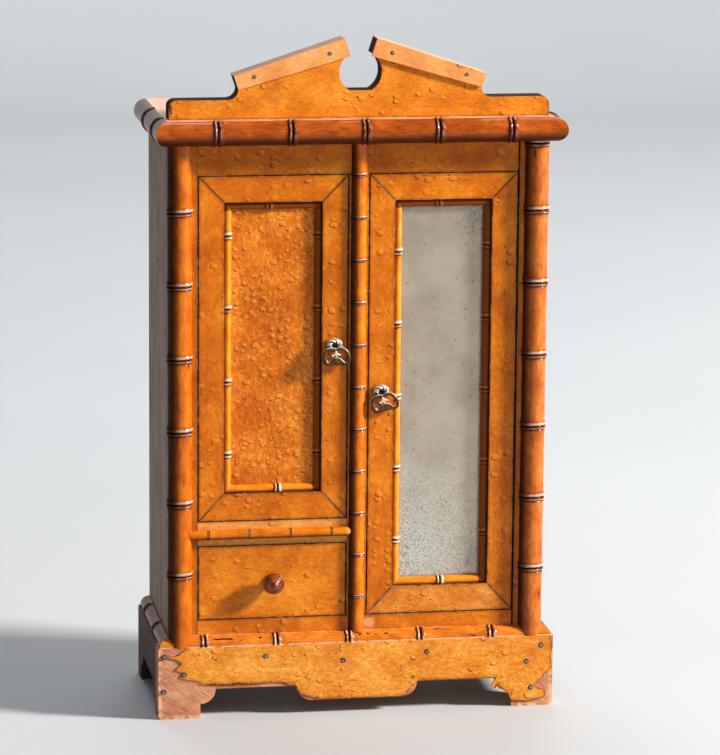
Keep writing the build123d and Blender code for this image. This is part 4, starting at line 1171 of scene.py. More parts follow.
class Workbench:
    """Makes pieces out of surfaces and dresses CAD nodes."""

    sharp_angle = math.radians(38.0)

    def __init__(self) -> None:
        """Starts with no finishes made."""
        self.made: dict[str, bpy.types.Material] = {}

    def material(self, finish: Finish, name: str) -> bpy.types.Material:
        """Returns the finish's material of that name, made once."""
        if name not in self.made:
            self.made[name] = finish.make(name)
        return self.made[name]

    def dress(self, nodes: Sequence[str], finish: Finish, name: Optional[str] = None) -> None:
        """Gives CAD nodes a finish.

        Args:
            nodes: Names of the nodes.
            finish: The finish that all of them get.
            name: Name of the material, the first node's if left out.
        """
        material = self.material(finish, name or f"{nodes[0]}_finish")
        for node in nodes:
            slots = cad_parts[node].data.materials
            slots.clear()
            slots.append(material)
        LOG.info("dressed %s", ", ".join(nodes))

    def piece(
        self, name: str, surface: Surface, finish: Finish, body: str, replaces: Sequence[str],
        finish_name: Optional[str] = None,
    ) -> bpy.types.Object:
        """Makes a piece that rides on a body and stands for CAD nodes.

        Args:
            name: The piece's name.
            surface: Its mesh, in millimetres.
            finish: Its finish.
            body: The CAD body that it moves with.
            replaces: The CAD nodes that it stands for.
            finish_name: Name of its material, if it is shared.

        Returns:
            The new object.
        """
        mesh = bpy.data.meshes.new(name)
        mesh.from_pydata((surface.points * MM).tolist(), [], surface.faces)
        for label, values in surface.values.items():
            layer = mesh.attributes.new(label, "FLOAT_VECTOR", "POINT")
            layer.data.foreach_set("vector", np.ascontiguousarray(values, float).ravel())
        shape = bmesh.new()
        shape.from_mesh(mesh)
        bmesh.ops.dissolve_degenerate(shape, dist=1e-7, edges=shape.edges)
        bmesh.ops.remove_doubles(shape, verts=shape.verts, dist=1e-7)
        bmesh.ops.recalc_face_normals(shape, faces=shape.faces)
        shape.to_mesh(mesh)
        shape.free()
        mesh.shade_smooth()
        mesh.set_sharp_from_angle(angle=self.sharp_angle)
        mesh.materials.append(self.material(finish, finish_name or f"{name}_finish"))
        thing = bpy.data.objects.new(name, mesh)
        bpy.context.scene.collection.objects.link(thing)
        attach(thing, body)
        if replaces:
            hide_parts(*replaces)
        LOG.info("made %s with %d faces on %s", name, len(mesh.polygons), body)
        return thing


@dataclass(frozen=True)
class Box:
    """The limits of a CAD node in millimetres, read to the nearest micrometre."""

    left: float
    front: float
    foot: float
    right: float
    back: float
    top: float

    @classmethod
    def of(cls, node: str) -> Box:
        """Reads a node's limits from the frame."""
        return cls(*(round(value / MM, 3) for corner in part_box(node) for value in corner))

    @property
    def face(self) -> Face:
        """Returns the left, right, lower and upper limits of the front."""
        return self.left, self.right, self.foot, self.top

    @property
    def middle(self) -> Point:
        """Returns the middle of the front, across and up."""
        return (self.left + self.right) / 2, (self.foot + self.top) / 2


def ring_run(first: float, pitch: float, end: float) -> list[float]:
    """Lists the rings of a rod from the first, a pitch apart, up to its end."""
    return list(np.arange(first, end, pitch))


# ---------------------------------------------------------------- sub-assemblies
PLINTH = Box.of("plinth_front")
SHEET_Y = Box.of("plinth_front_veneer").front
FACE_Y = Box.of("centre_stile").front
BACK = Box.of("back_panel")
TOP_BOARD = Box.of("top_board")
PEDIMENT = Box.of("pediment_board")

# The column canes carry a painted highlight on the shoulder of each ring.
OLD_CANE = Cane(painted_highlight=0.4)
FADED_CANE = Cane(pale=paint(222, 138, 58), body=paint(184, 92, 26), deep=paint(96, 36, 8), painted_highlight=0.5)
BARE = PlainWood(
    Grain.ACROSS, paint(128, 72, 50), paint(196, 126, 92), paint(236, 180, 142), fibre_size=0.6,
    roughness=0.8, relief=0.9, banding=0.3, slant=-30.0, rubbed_half=PLINTH.right,
)
INSIDE = PlainWood(
    Grain.UPRIGHT, paint(150, 104, 62), paint(192, 146, 96), paint(214, 174, 126), roughness=0.66, relief=0.3
)
INSIDE_LEVEL = replace(INSIDE, grain=Grain.ACROSS)
STAINED = PlainWood(
    Grain.UPRIGHT, paint(120, 98, 84), paint(158, 134, 119), paint(188, 164, 148), roughness=0.72, relief=0.3,
    banding=0.9,
)
# A darker copy of the side wood for the right side: painted shade that tones down the key light falling on
# it.
DARKER_RIGHT_SIDE = PlainWood(
    Grain.UPRIGHT, paint(70, 50, 38), paint(98, 72, 56), paint(122, 94, 74), roughness=0.7, relief=0.3,
    banding=0.8,
)
DUSKY_BOARD = PlainWood(
    Grain.DEEP, paint(40, 24, 16), paint(78, 48, 32), paint(112, 74, 50), roughness=0.6, relief=0.4
)
AGED_BRASS = Metal()
DROP_BRASS = Metal(paint(58, 38, 15), paint(128, 90, 46), paint(255, 246, 222), 0.28, 0.38)
IRON = Metal(paint(18, 15, 16), paint(58, 52, 54), paint(186, 176, 182), 0.7, 0.42)
PANEL = Veneer(
    dark=paint(158, 66, 6), ground=paint(210, 108, 14), light=paint(244, 156, 54), eye_share=0.85,
    eye_size=5.6, eye_radius=(0.75, 1.75), eye_gather=(0.34, 0.46), fleck_strength=0.35, worn_strength=0.0,
    mottle=0.6, grit=0.75, eye_highlight=paint(252, 188, 100),
)


@dataclass
class Plinth:
    """The base: skirt boards, the broken veneer, the quarter-round cane and the nail heads."""

    half_width: float = PLINTH.right
    height: float = PLINTH.top
    board_y: float = PLINTH.front
    front_y: float = SHEET_Y
    face_y: float = FACE_Y
    case_x: float = Box.of("right_side_panel").right
    back_y: float = BACK.back
    roll_radius: float = 7.1
    foot_x: float = 115.7
    arch_z: float = 22.0
    ovolo: float = 11.3
    apron_x: float = 44.8
    front_rings: tuple[float, ...] = (34.4, 87.6, 140.8, 194.0, 247.2)
    side_rings: tuple[float, ...] = (52.0, 105.2)
    scars: tuple[tuple[float, float, float, float], ...] = (
        (89.5, 5.6, 9.5, 0.9), (115.2, 6.0, 1.4, 1.1), (188.7, 5.4, 1.2, 0.7), (194.9, 6.2, 1.6, 0.8),
        (200.6, 5.2, 1.1, 0.7), (208.4, 5.8, 1.6, 0.8),
    )
    torn_left: tuple[Point, ...] = (
        (0.0, 20.6), (1.6, 18.6), (3.6, 15.6), (5.2, 14.2), (5.9, 10.6), (6.4, 5.4), (7.0, 6.4), (7.8, 11.8),
        (8.6, 13.6), (9.8, 15.4), (11.6, 16.6), (13.2, 15.4), (14.8, 13.2), (15.8, 11.8), (16.8, 12.8),
        (17.9, 17.2), (19.2, 18.0), (20.8, 16.2), (22.2, 15.8), (23.2, 19.0), (24.0, 23.0), (24.8, 28.6),
        (25.6, 30.6), (27.2, 31.2), (28.2, 33.6), (28.4, 40.0), (53.2, 44.0),
    )
    torn_right: tuple[Point, ...] = (
        (0.0, 2.0), (3.3, 1.5), (10.5, 0.9), (17.0, 1.6), (21.4, 0.8), (24.3, 0.7), (26.4, 2.4), (28.6, 6.0),
        (32.4, 7.8), (34.3, 11.1), (36.7, 13.4), (39.0, 12.5), (40.5, 9.7), (41.2, 5.6), (45.2, 5.5),
        (46.7, 6.4), (53.2, 8.0),
    )
    torn_foot: tuple[Point, ...] = (
        (-146.5, 24.8), (-115.0, 24.8), (-105.0, 25.6), (-98.0, 24.6), (-90.0, 25.8), (-80.0, 24.8),
        (-66.0, 25.4), (-56.0, 24.4), (-50.0, 22.6), (-45.2, 22.4), (-43.6, 18.4), (-39.0, 14.6),
        (-34.0, 12.6), (-26.0, 11.2), (20.0, 11.2), (30.0, 11.0), (36.0, 12.8), (42.0, 17.8), (45.6, 22.8),
        (80.0, 22.4), (104.0, 22.4), (105.0, 17.6), (108.0, 12.6), (112.0, 10.9), (115.6, 10.4),
        (115.9, 4.3), (121.0, 4.0), (128.7, 3.5), (131.0, 4.9), (138.9, 5.6), (140.8, 7.0), (146.5, 12.0),
    )
    nails: tuple[Point, ...] = (
        (-142.3, 47.2), (-127.7, 33.4), (-142.7, 21.0), (-67.7, 45.4), (-10.5, 40.0), (51.7, 44.4),
        (126.5, 34.2), (137.5, 46.2), (130.1, 14.2),
    )

    def skirt(self, x: np.ndarray) -> np.ndarray:
        """The lower edge of the front board.

        Level arches that meet the feet and the lowered middle in quarter circles.

        Args:
            x: Places across the board.

        Returns:
            The height of the edge at each place.
        """
        reach = np.abs(x)
        foot = self.foot_x - reach
        apron = reach - (self.apron_x - self.ovolo)
        edge = np.full_like(reach, self.arch_z)
        for away in (foot, apron):
            fall = np.sqrt(np.maximum(self.ovolo**2 - away**2, 0.0))
            edge = np.where((away >= 0.0) & (away < self.ovolo), self.arch_z - fall, edge)
        return np.where(foot < 0.0, 0.0, np.where(apron < 0.0, self.arch_z - self.ovolo, edge))

    def veneer_sheet(self) -> Surface:
        """The torn sheet of veneer.

        Its height runs from the top edge down to the torn or shaped lower edge at each x, and its width
        from the torn left edge to the torn right edge at each height, both read from lists of corners and
        roughened by a sum of sines. The front is a grid over the two, and the back is the same grid one
        veneer deeper.

        Returns:
            The sheet.
        """
        rows, columns = 72, 420
        share = np.linspace(0.0, 1.0, columns)[None, :]
        depth = np.linspace(0.0, 1.0, rows)[:, None]
        x = -self.half_width + 2 * self.half_width * share + 0 * depth
        for _ in range(3):
            foot_x, foot_z = zip(*self.torn_foot)
            rough = 0.28 * np.sin(x * 1.9) * np.sin(x * 0.47 + 1.0) + 0.16 * np.sin(x * 4.7)
            low = np.maximum(np.interp(x, foot_x, foot_z) + rough, self.skirt(x) + 0.15)
            z = self.height - (self.height - low) * depth
            drop = self.height - z
            tear = 0.35 * np.sin(drop * 3.1) + 0.2 * np.sin(drop * 7.3 + 1.0)
            left = -self.half_width + np.interp(drop, *zip(*self.torn_left)) + tear
            right = self.half_width - np.interp(drop, *zip(*self.torn_right)) + 0.5 * tear
            x = left + (right - left) * share
        lift = 0.05 * np.sin(x * 0.31) * np.sin(z * 0.5)
        faces = grid_faces(rows, columns, wrapped=False)
        count = rows * columns
        front = np.stack([x, self.front_y + lift, z], -1).reshape(-1, 3)
        back = np.stack([x, np.full_like(x, self.board_y), z], -1).reshape(-1, 3)
        rim = np.concatenate([
            np.arange(columns), np.arange(1, rows) * columns + columns - 1,
            (rows - 1) * columns + np.arange(columns - 2, -1, -1), np.arange(rows - 2, 0, -1) * columns,
        ])
        ahead = np.roll(rim, -1)
        walls = np.stack([rim, ahead, ahead + count, rim + count], -1).tolist()
        edge = np.tile(thrice(np.minimum(np.minimum(x - left, right - x), z - low)), (2, 1))
        faces = faces + [[i + count for i in face[::-1]] for face in faces] + walls
        return Surface(np.concatenate([front, back]), faces, {"edge": edge})

    def rolls(self) -> dict[str, Surface]:
        """The quarter-round cane: across the front and along both sides, mitred at the corners.

        Returns:
            Each roll under the name of the node that it stands for.
        """
        shared = {"section": Section.QUARTER, "sides": 16, "swelling": 0.2}
        width = 2 * self.half_width
        inset = self.half_width - self.case_x
        front = CaneRod(
            (-self.half_width, self.face_y, self.height), RIGHTWARD, FORWARD, UPWARD, width, self.roll_radius,
            self.front_rings, low_end=(inset, -1.0, 0.0), high_end=(-inset, 1.0, 0.0), lean=40.0, **shared,
        )
        parts = {"plinth_roll_front": front.surface()}
        for name, side in (("plinth_roll_right", 1), ("plinth_roll_left", -1)):
            rod = CaneRod(
                (side * self.case_x, self.front_y, self.height), BACKWARD, (side, 0, 0), UPWARD,
                self.back_y - self.front_y, self.roll_radius, self.side_rings,
                low_end=(self.face_y - self.front_y, -1.0, 0.0), lean=400.0 + 300.0 * side, **shared,
            )
            parts[name] = rod.surface()
        return parts

    def build(self, bench: Workbench) -> None:
        """Makes the plinth's pieces and dresses its boards.

        Args:
            bench: The workbench that makes pieces and finishes.
        """
        bench.dress(["plinth_front"], BARE, "bare_front")
        bench.dress(["plinth_left", "plinth_right"], DUSKY_BOARD, "plinth_side")
        bench.dress(["plinth_back", "plinth_corner_blocks"], INSIDE_LEVEL, "inside_level")
        honey = Veneer(
            Grain.ACROSS, dark=paint(192, 96, 16), ground=paint(230, 142, 44), light=paint(250, 188, 92),
            fleck_strength=0.95, eye_share=0.5, worn_strength=0.0, torn=True, grit=0.65, mottle=0.6,
            blush=paint(196, 102, 46),
        )
        bench.piece("torn_veneer", self.veneer_sheet(), honey, "case", ["plinth_front_veneer"])
        # Pale rubbed edges on the front roll and pale collar crests: wear with a painted highlight.
        worn = Cane(
            pale=paint(232, 150, 56), body=paint(206, 112, 30), deep=paint(132, 56, 14), scars=0.68,
            crest_wear_and_highlight=0.85, worn_wraps=(0.0, self.roll_radius * math.pi / 2), marks=self.scars,
        )
        # A darker copy of the cane for the side rolls: painted shade.
        shaded_side_cane = Cane(pale=paint(150, 78, 34), body=paint(110, 52, 20), deep=paint(62, 27, 12), crest_wear_and_highlight=0.1)
        for name, surface in self.rolls().items():
            front = name.endswith("front")
            finish_name = "plinth_cane" if front else "plinth_side_shaded_cane"
            bench.piece(f"{name}_cane", surface, worn if front else shaded_side_cane, "case", [name], finish_name)


@dataclass
class Nails:
    """Blackened iron nail heads on the plinth and on the pediment's strips."""

    plinth_spots: tuple[Point, ...]
    plinth_y: float = SHEET_Y
    strip_spots: tuple[Point, ...] = (
        (-76.77, 469.12), (76.77, 469.12), (-22.66, 485.27), (22.66, 485.27)
    )
    strip_y: float = Box.of("pediment_rake_left").front
    plinth_radius: float = 1.9
    strip_radius: float = 1.4

    def head(self, spot: Sequence[float], radius: float, turn: float) -> Surface:
        """One hammered head.

        A low dome: reach falls off with the cube of the share of the radius, with a slot-like dent across it
        and an outline that swells and shrinks a little round it.

        Args:
            spot: The middle of the head, on the wood.
            radius: The head's radius.
            turn: How far the head is turned, in radians.

        Returns:
            The head.
        """
        x, y, z = spot
        rows, sides = 9, 28
        share = np.linspace(0.02, 1.0, rows)[:, None]
        angle = np.linspace(0.0, TAU, sides, endpoint=False)[None, :]
        out = radius * share * (1.0 + 0.07 * np.sin(2 * angle + turn) + 0.04 * np.sin(5 * angle + 2 * turn))
        dent = 0.16 * np.exp(-((out * np.sin(angle - turn)) / (0.3 * radius)) ** 2) * (1.0 - share)
        reach = 0.42 * (1.0 - share**3) - dent
        dome = np.stack([x + out * np.cos(angle), y - 0.12 - reach, z + out * np.sin(angle)], -1)
        base = dome[-1:].copy()
        base[..., 1] = y + 0.25
        points = np.concatenate([dome, base]).reshape(-1, 3)
        # Brighter towards the crest of the dome: rubbed wear with a painted highlight.
        wear_and_highlight = (1.0 - share) * 0.6 + 0.3 + 0 * angle
        wear_and_highlight = np.concatenate([wear_and_highlight, np.zeros((1, sides))])
        return Surface(points, closed_faces(rows + 1, sides), {"wear_and_highlight": thrice(wear_and_highlight)})

    def build(self, bench: Workbench) -> None:
        """Makes all the heads as one piece.

        Args:
            bench: The workbench that makes pieces and finishes.
        """
        heads = [
            self.head((x, y, z), radius, turn * number)
            for spots, y, radius, turn in (
                (self.plinth_spots, self.plinth_y, self.plinth_radius, 0.7),
                (self.strip_spots, self.strip_y, self.strip_radius, 1.3),
            )
            for number, (x, z) in enumerate(spots)
        ]
        bench.piece("nail_heads", Surface.joined(heads), IRON, "case", ["nails"])


@dataclass
class Columns:
    """The turned canes that stand on the plinth, and the roll across the drawer rail."""

    foot_z: float = BACK.foot
    height: float = BACK.top - BACK.foot
    column_x: float = 130.0
    column_y: float = -50.45
    face_y: float = FACE_Y
    radius: float = 8.8
    left_rings: tuple[float, float] = (53.3, 53.2)
    right_rings: tuple[float, float] = (51.2, 53.2)
    cap_ring: float = 1.9
    centre_radius: float = 5.95
    centre_rise: float = 4.4
    centre_rings: tuple[float, float] = (33.4, 31.1)
    rail_radius: float = 3.3
    rail_z: float = 135.6
    rail_rings: tuple[float, float] = (20.9, 30.1)
    rail_reach: float = 125.2
    rail_start: float = -124.8
    rail_proud: float = 2.4
    roll_z: float = 59.8

    def build(self, bench: Workbench) -> None:
        """Makes the columns and the rail roll.

        Args:
            bench: The workbench that makes pieces and finishes.
        """
        sides = ((-1, "left_column", self.left_rings), (1, "right_column", self.right_rings))
        for side, name, rings in sides:
            places = ring_run(*rings, self.height)
            if side > 0:
                places.append(self.height - self.cap_ring)
            rod = CaneRod(
                (side * self.column_x, self.column_y, self.foot_z), UPWARD, LEFTWARD, FORWARD, self.height,
                self.radius, places, 0.85, sides=64, lean=90.0 * side, swelling=0.34,
            )
            # Painted shade on the left side of each column, the side away from the key light.
            cane, shade_span = (FADED_CANE, (0.6, 6.4)) if side > 0 else (OLD_CANE, (2.4, 9.4))
            left_x = side * self.column_x - self.radius
            finish = replace(cane, painted_shade_x=(left_x + shade_span[0], left_x + shade_span[1]))
            bench.piece(f"{name}_cane", rod.surface(), finish, "case", [name], f"{name}_cane")
        self.centre_column(bench)
        self.rail_roll(bench)

    def centre_column(self, bench: Workbench) -> None:
        """Makes the cane on the centre stile.

        Args:
            bench: The workbench that makes pieces and finishes.
        """
        start = self.roll_z - self.foot_z
        rings = [place - start for place in ring_run(*self.centre_rings, self.height)]
        middle = CaneRod(
            (0.0, self.face_y + self.centre_radius - self.centre_rise, self.roll_z), UPWARD, LEFTWARD,
            FORWARD, self.height - start, self.centre_radius, rings, 0.4, sides=44, lean=777.0,
            swelling=0.4, collar=0.9,
        )
        # Painted shade on the left side of the centre column.
        cane = replace(OLD_CANE, pale=paint(236, 146, 20), body=paint(206, 102, 6), painted_shade_x=(-4.3, 0.4))
        bench.piece("centre_column_cane", middle.surface(), cane, "case", ["centre_column"], "centre_cane")

    def rail_roll(self, bench: Workbench) -> None:
        """Makes the cane on the drawer's rail.

        Args:
            bench: The workbench that makes pieces and finishes.
        """
        inset = self.rail_start + self.column_x
        rings = [place - inset for place in ring_run(*self.rail_rings, self.rail_reach)]
        rail = CaneRod(
            (self.rail_start, self.face_y - self.rail_proud, self.rail_z), RIGHTWARD, DOWNWARD, FORWARD,
            self.rail_reach - inset, self.rail_radius, rings, 0.3, Section.BEAD, 24, backing=self.rail_proud,
            lean=1500.0, round_low=2.6, round_high=3.6,
        )
        # Painted shade along the lower part of the rail roll.
        cane = Cane(
            pale=paint(230, 150, 44), body=paint(204, 110, 20), deep=paint(128, 54, 8), crest_wear_and_highlight=0.3,
            painted_shade_z=(self.rail_z - 3.0, self.rail_z), painted_shade_tone=paint(96, 42, 12),
        )
        bench.piece("drawer_rail_cane", rail.surface(), cane, "case", ["drawer_rail_roll"], "rail_cane")


@dataclass(frozen=True)
class TopBoardFinish:
    """Bare pinkish board behind the pediment, varnished strip with a rubbed pale edge before it."""

    front_y: float = TOP_BOARD.front
    pediment_y: float = PEDIMENT.front

    def make(self, name: str) -> bpy.types.Material:
        """Builds the material.

        Args:
            name: Name to give it.

        Returns:
            The material.
        """
        graph = Graph(name)
        _, y, _ = graph.axes()
        place = graph.place()
        along = graph.scaled(graph.pushed(place, graph.noise_colour(place, 26.0), 3.0), (0.06, 1.0, 1.0))
        fibre = graph.noise(along, 1.3, 4.0, 0.6)
        cloud = graph.noise(place, 30.0, 3.0)
        tone = fibre.swing(0.8) + cloud.swing(0.9) + 0.5
        bare = graph.shades(tone, (paint(186, 128, 100), paint(222, 172, 144), paint(238, 200, 176)))
        varnished = graph.shades(tone, (paint(160, 86, 30), paint(206, 122, 48), paint(226, 152, 76)))
        colour = graph.mix(y.rise(self.pediment_y - 0.3, self.pediment_y + 0.3), varnished, bare)
        patchy = graph.noise(place, 9.0, 3.0).rise(0.3, 0.46)
        rubbed = abs(y - self.front_y).rise(2.6, 1.0) * patchy
        colour = graph.mix(rubbed * 0.8, colour, paint(246, 230, 202))
        foot = abs(y - self.pediment_y + 1.6).rise(1.7, 0.7) * patchy
        colour = graph.mix(foot * 0.7, colour, paint(246, 224, 190))
        corner = abs(y - self.pediment_y - 0.2).rise(0.7, 0.3)
        colour = graph.mix(corner * 0.8, colour, paint(70, 36, 18))
        return graph.close({}, fibre * 0.2, 0.5, Base_Color=colour, Roughness=0.6 + cloud.swing(0.2))


@dataclass
class Cornice:
    """The cornice board with its half-round cane, and the broken pediment on it."""

    axis_z: float = TOP_BOARD.middle[1]
    radius: float = (TOP_BOARD.top - TOP_BOARD.foot) / 2
    board_x: float = TOP_BOARD.right
    board_y: float = TOP_BOARD.front
    back_y: float = BACK.back
    front_rings: tuple[float, ...] = (44.4, 97.6, 150.8, 204.0, 257.2)
    side_rings: tuple[float, ...] = (31.0, 84.2)
    ridge_x: float = 11.9
    slope: float = 0.3279
    far_above: float = 999.0

    def build(self, bench: Workbench) -> None:
        """Makes the canes and dresses the boards.

        Args:
            bench: The workbench that makes pieces and finishes.
        """
        shared = {"section": Section.HALF, "sides": 36, "low_end": (self.radius, 0.0, -1.0), "swelling": 0.2}
        half = self.board_x + self.radius
        front = CaneRod(
            (-half, self.board_y, self.axis_z), RIGHTWARD, UPWARD, FORWARD, 2 * half, self.radius,
            self.front_rings, high_end=(-self.radius, 0.0, 1.0), lean=2100.0, **shared,
        )
        # Painted shade along the lower part of the cornice roll.
        dusky = Cane(
            pale=paint(214, 110, 40), body=paint(164, 74, 20), deep=paint(86, 30, 8), crest_wear_and_highlight=0.3,
            painted_shade_z=(self.axis_z - 6.5, self.axis_z + 1.0), painted_shade_tone=paint(64, 24, 8),
        )
        nodes = ["cornice_roll_front"]
        bench.piece("cornice_front_cane", front.surface(), dusky, "case", nodes, "cornice_cane")
        # A darker copy of the cane for the side rolls: painted shade.
        shaded_side_cane = Cane(pale=paint(146, 72, 32), body=paint(104, 47, 20), deep=paint(58, 24, 12), crest_wear_and_highlight=0.2)
        start = self.board_y - self.radius
        for side, word in ((1, "right"), (-1, "left")):
            rod = CaneRod(
                (side * self.board_x, start, self.axis_z), BACKWARD, UPWARD, (side, 0, 0),
                self.back_y - start, self.radius, self.side_rings, lean=2700.0 + 300.0 * side, **shared,
            )
            node = f"cornice_roll_{word}"
            bench.piece(f"cornice_{word}_cane", rod.surface(), shaded_side_cane, "case", [node], "cornice_side_shaded_cane")
        bench.dress(["top_board"], TopBoardFinish())
        self.dress_pediment(bench)

    def dress_pediment(self, bench: Workbench) -> None:
        """Dresses the pediment's board and the strips on its slopes.

        Args:
            bench: The workbench that makes pieces and finishes.
        """
        board = Veneer(
            Grain.ACROSS, ground=paint(224, 128, 26), light=paint(246, 164, 60), dark=paint(180, 86, 12),
            front=(PEDIMENT.left, PEDIMENT.right, PEDIMENT.foot, self.far_above), fleck_strength=0.4,
            worn_strength=0.9, eye_share=0.5, rind_from=PEDIMENT.front + 0.15,
            ridge=(self.ridge_x, PEDIMENT.top, self.slope),
            patches=(Patch(-137.2, 447.0, 2.0, 4.4, paint(46, 20, 10)),),
        )
        bench.dress(["pediment_board"], board)
        strip = Veneer(
            Grain.ACROSS, dark=paint(208, 124, 66), ground=paint(236, 158, 88), light=paint(250, 192, 130),
            eye_share=0.12, fleck_strength=0.3, mottle=0.3, blush=paint(214, 124, 84),
        )
        bench.dress(["pediment_rake_left", "pediment_rake_right"], strip)


@dataclass
class Carcase:
    """The fixed front frame, the sides and the plain boards inside."""

    def build(self, bench: Workbench) -> None:
        """Dresses the boards.

        Args:
            bench: The workbench that makes pieces and finishes.
        """
        level = Grain.ACROSS
        frieze = Veneer(level, front=Box.of("frieze_rail").face, shade=0.79, fleck_strength=0.7)
        bench.dress(["frieze_rail"], frieze)
        rubbed = Patch(9.4, 65.6, 4.6, 4.0, paint(216, 160, 108))
        bench.dress(["bottom_rail"], Veneer(level, front=Box.of("bottom_rail").face, patches=(rubbed,)))
        faded = Veneer(
            level, dark=paint(190, 104, 34), ground=paint(228, 146, 62), light=paint(250, 186, 106),
            front=Box.of("drawer_divider").face, eye_share=0.3,
        )
        bench.dress(["drawer_divider"], faded)
        bench.dress(["centre_stile"], Veneer(shade=0.9, front=Box.of("centre_stile").face))
        for post in ("left_stile", "right_stile"):
            bench.dress([post], Veneer(shade=0.8, eye_share=0.2, fleck_strength=0.2, front=Box.of(post).face))
        bench.dress(["left_side_panel"], STAINED, "stained_side")
        # The right side takes the darker copy of the side wood, painted shade against the key light.
        bench.dress(["right_side_panel"], DARKER_RIGHT_SIDE, "right_side_darkened")
        bench.dress(["back_panel", "centre_partition", "mirror_backboard"], INSIDE, "inside_upright")
        level_boards = ["bottom_board", "left_shelves", "right_shelves", "drawer_guides"]
        bench.dress(level_boards, INSIDE_LEVEL, "inside_level")
        steel = PlainWood(dark=paint(40, 38, 36), ground=paint(86, 84, 80), light=paint(130, 128, 122))
        bench.dress(["door_pivot_pins"], steel)


@dataclass
class Door:
    """A mitred door with a bamboo bead inside its frame, and a panel or a mirror."""

    side: str
    filling: str
    filling_finish: Finish
    left_ring: float
    right_ring: float
    top_ring: float
    bottom_ring: float
    pitch: float = 53.4
    bead: float = 5.4
    bead_setback: float = 1.6
    bead_ring: float = 0.85
    face_y: float = FACE_Y
    faded: tuple[str, ...] = ()

    def member(self, name: str) -> Box:
        """Returns the limits of a part of the door."""
        return Box.of(f"{self.side}_door_{name}")

    def seams(self) -> dict[str, tuple[Seam, ...]]:
        """Returns the two mitre joints of each member, from the frame's corners to the opening's.

        Returns:
            The joints of each member, under its name.
        """
        left, right, low, high = self.member("beads").face
        hinge, lock = ("left", "right") if self.side == "left" else ("right", "left")
        outer = {
            hinge: getattr(self.member("hinge_stile"), hinge),
            lock: getattr(self.member("lock_stile"), lock),
        }
        foot, top = self.member("bottom_rail").foot, self.member("top_rail").top
        joints = {}
        for side, x in (("left", left), ("right", right)):
            for end, edge, z in (("low", foot, low), ("high", top, high)):
                turn = math.degrees(math.atan2(z - edge, x - outer[side]))
                joints[f"{end}_{side}"] = Seam(outer[side], edge, turn)
        return {
            "hinge_stile": (joints[f"low_{hinge}"], joints[f"high_{hinge}"]),
            "lock_stile": (joints[f"low_{lock}"], joints[f"high_{lock}"]),
            "top_rail": (joints["high_left"], joints["high_right"]),
            "bottom_rail": (joints["low_left"], joints["low_right"]),
        }

    def beads(self) -> Surface:
        """The four mitred canes round the opening, each with a square back down to the filling.

        Returns:
            The canes, as one surface.
        """
        left, right, low, high = self.member("beads").face
        half = self.bead / 2
        axis_y = self.face_y + self.bead_setback + half
        width, height = right - left, high - low
        upright = [ring_run(first, self.pitch, height) for first in (self.left_ring, self.right_ring)]
        level = [[width / 2 + shift] for shift in (self.bottom_ring, self.top_ring)]
        rods = (
            (left + half, low, UPWARD, LEFTWARD, height, upright[0], 10.0),
            (right - half, low, UPWARD, RIGHTWARD, height, upright[1], 410.0),
            (left, low + half, RIGHTWARD, DOWNWARD, width, level[0], 810.0),
            (left, high - half, RIGHTWARD, UPWARD, width, level[1], 910.0),
        )
        return Surface.joined(
            CaneRod(
                (x, axis_y, z), run, inward, FORWARD, length, half, rings, self.bead_ring, Section.BEAD, 22,
                backing=Box.of(self.filling).front - axis_y, low_end=(half, -1.0, 0.0),
                high_end=(-half, 1.0, 0.0), lean=lean, swelling=0.15,
            ).surface()
            for x, z, run, inward, length, rings, lean in rods
        )

    def build(self, bench: Workbench) -> None:
        """Dresses the frame and makes the beads.

        Args:
            bench: The workbench that makes pieces and finishes.
        """
        for name, joints in self.seams().items():
            node = f"{self.side}_door_{name}"
            grain = Grain.UPRIGHT if name.endswith("stile") else Grain.ACROSS
            finish = Veneer(
                grain, front=self.member(name).face, seams=joints, fleck_strength=0.5, worn_strength=0.6
            )
            if name in self.faded:
                finish = replace(
                    finish, dark=paint(176, 88, 18), ground=paint(214, 124, 36), light=paint(242, 168, 80),
                    grit=0.9,
                )
            bench.dress([node], finish)
        bench.dress([self.filling], self.filling_finish)
        opening = self.member("beads")
        inner_x, inner_z = opening.right - self.bead, opening.top - self.bead
        # Painted highlights on the ring collars, and painted shade on the right and top beads, which lie in
        # the frame's shade.
        pale = Cane(
            pale=paint(252, 170, 50), body=paint(244, 136, 24), deep=paint(172, 72, 8), rim=0.9, crest_wear_and_highlight=0.9,
            painted_highlight=0.85, painted_shade_x=(inner_x, inner_x - 1.0), painted_shade_z=(inner_z, inner_z - 1.0),
            painted_shade_tone=paint(112, 50, 14),
        )
        node = f"{self.side}_door_beads"
        bench.piece(
            f"{self.side}_bead_canes", self.beads(), pale, f"{self.side}_door", [node],
            f"{self.side}_bead_cane"
        )


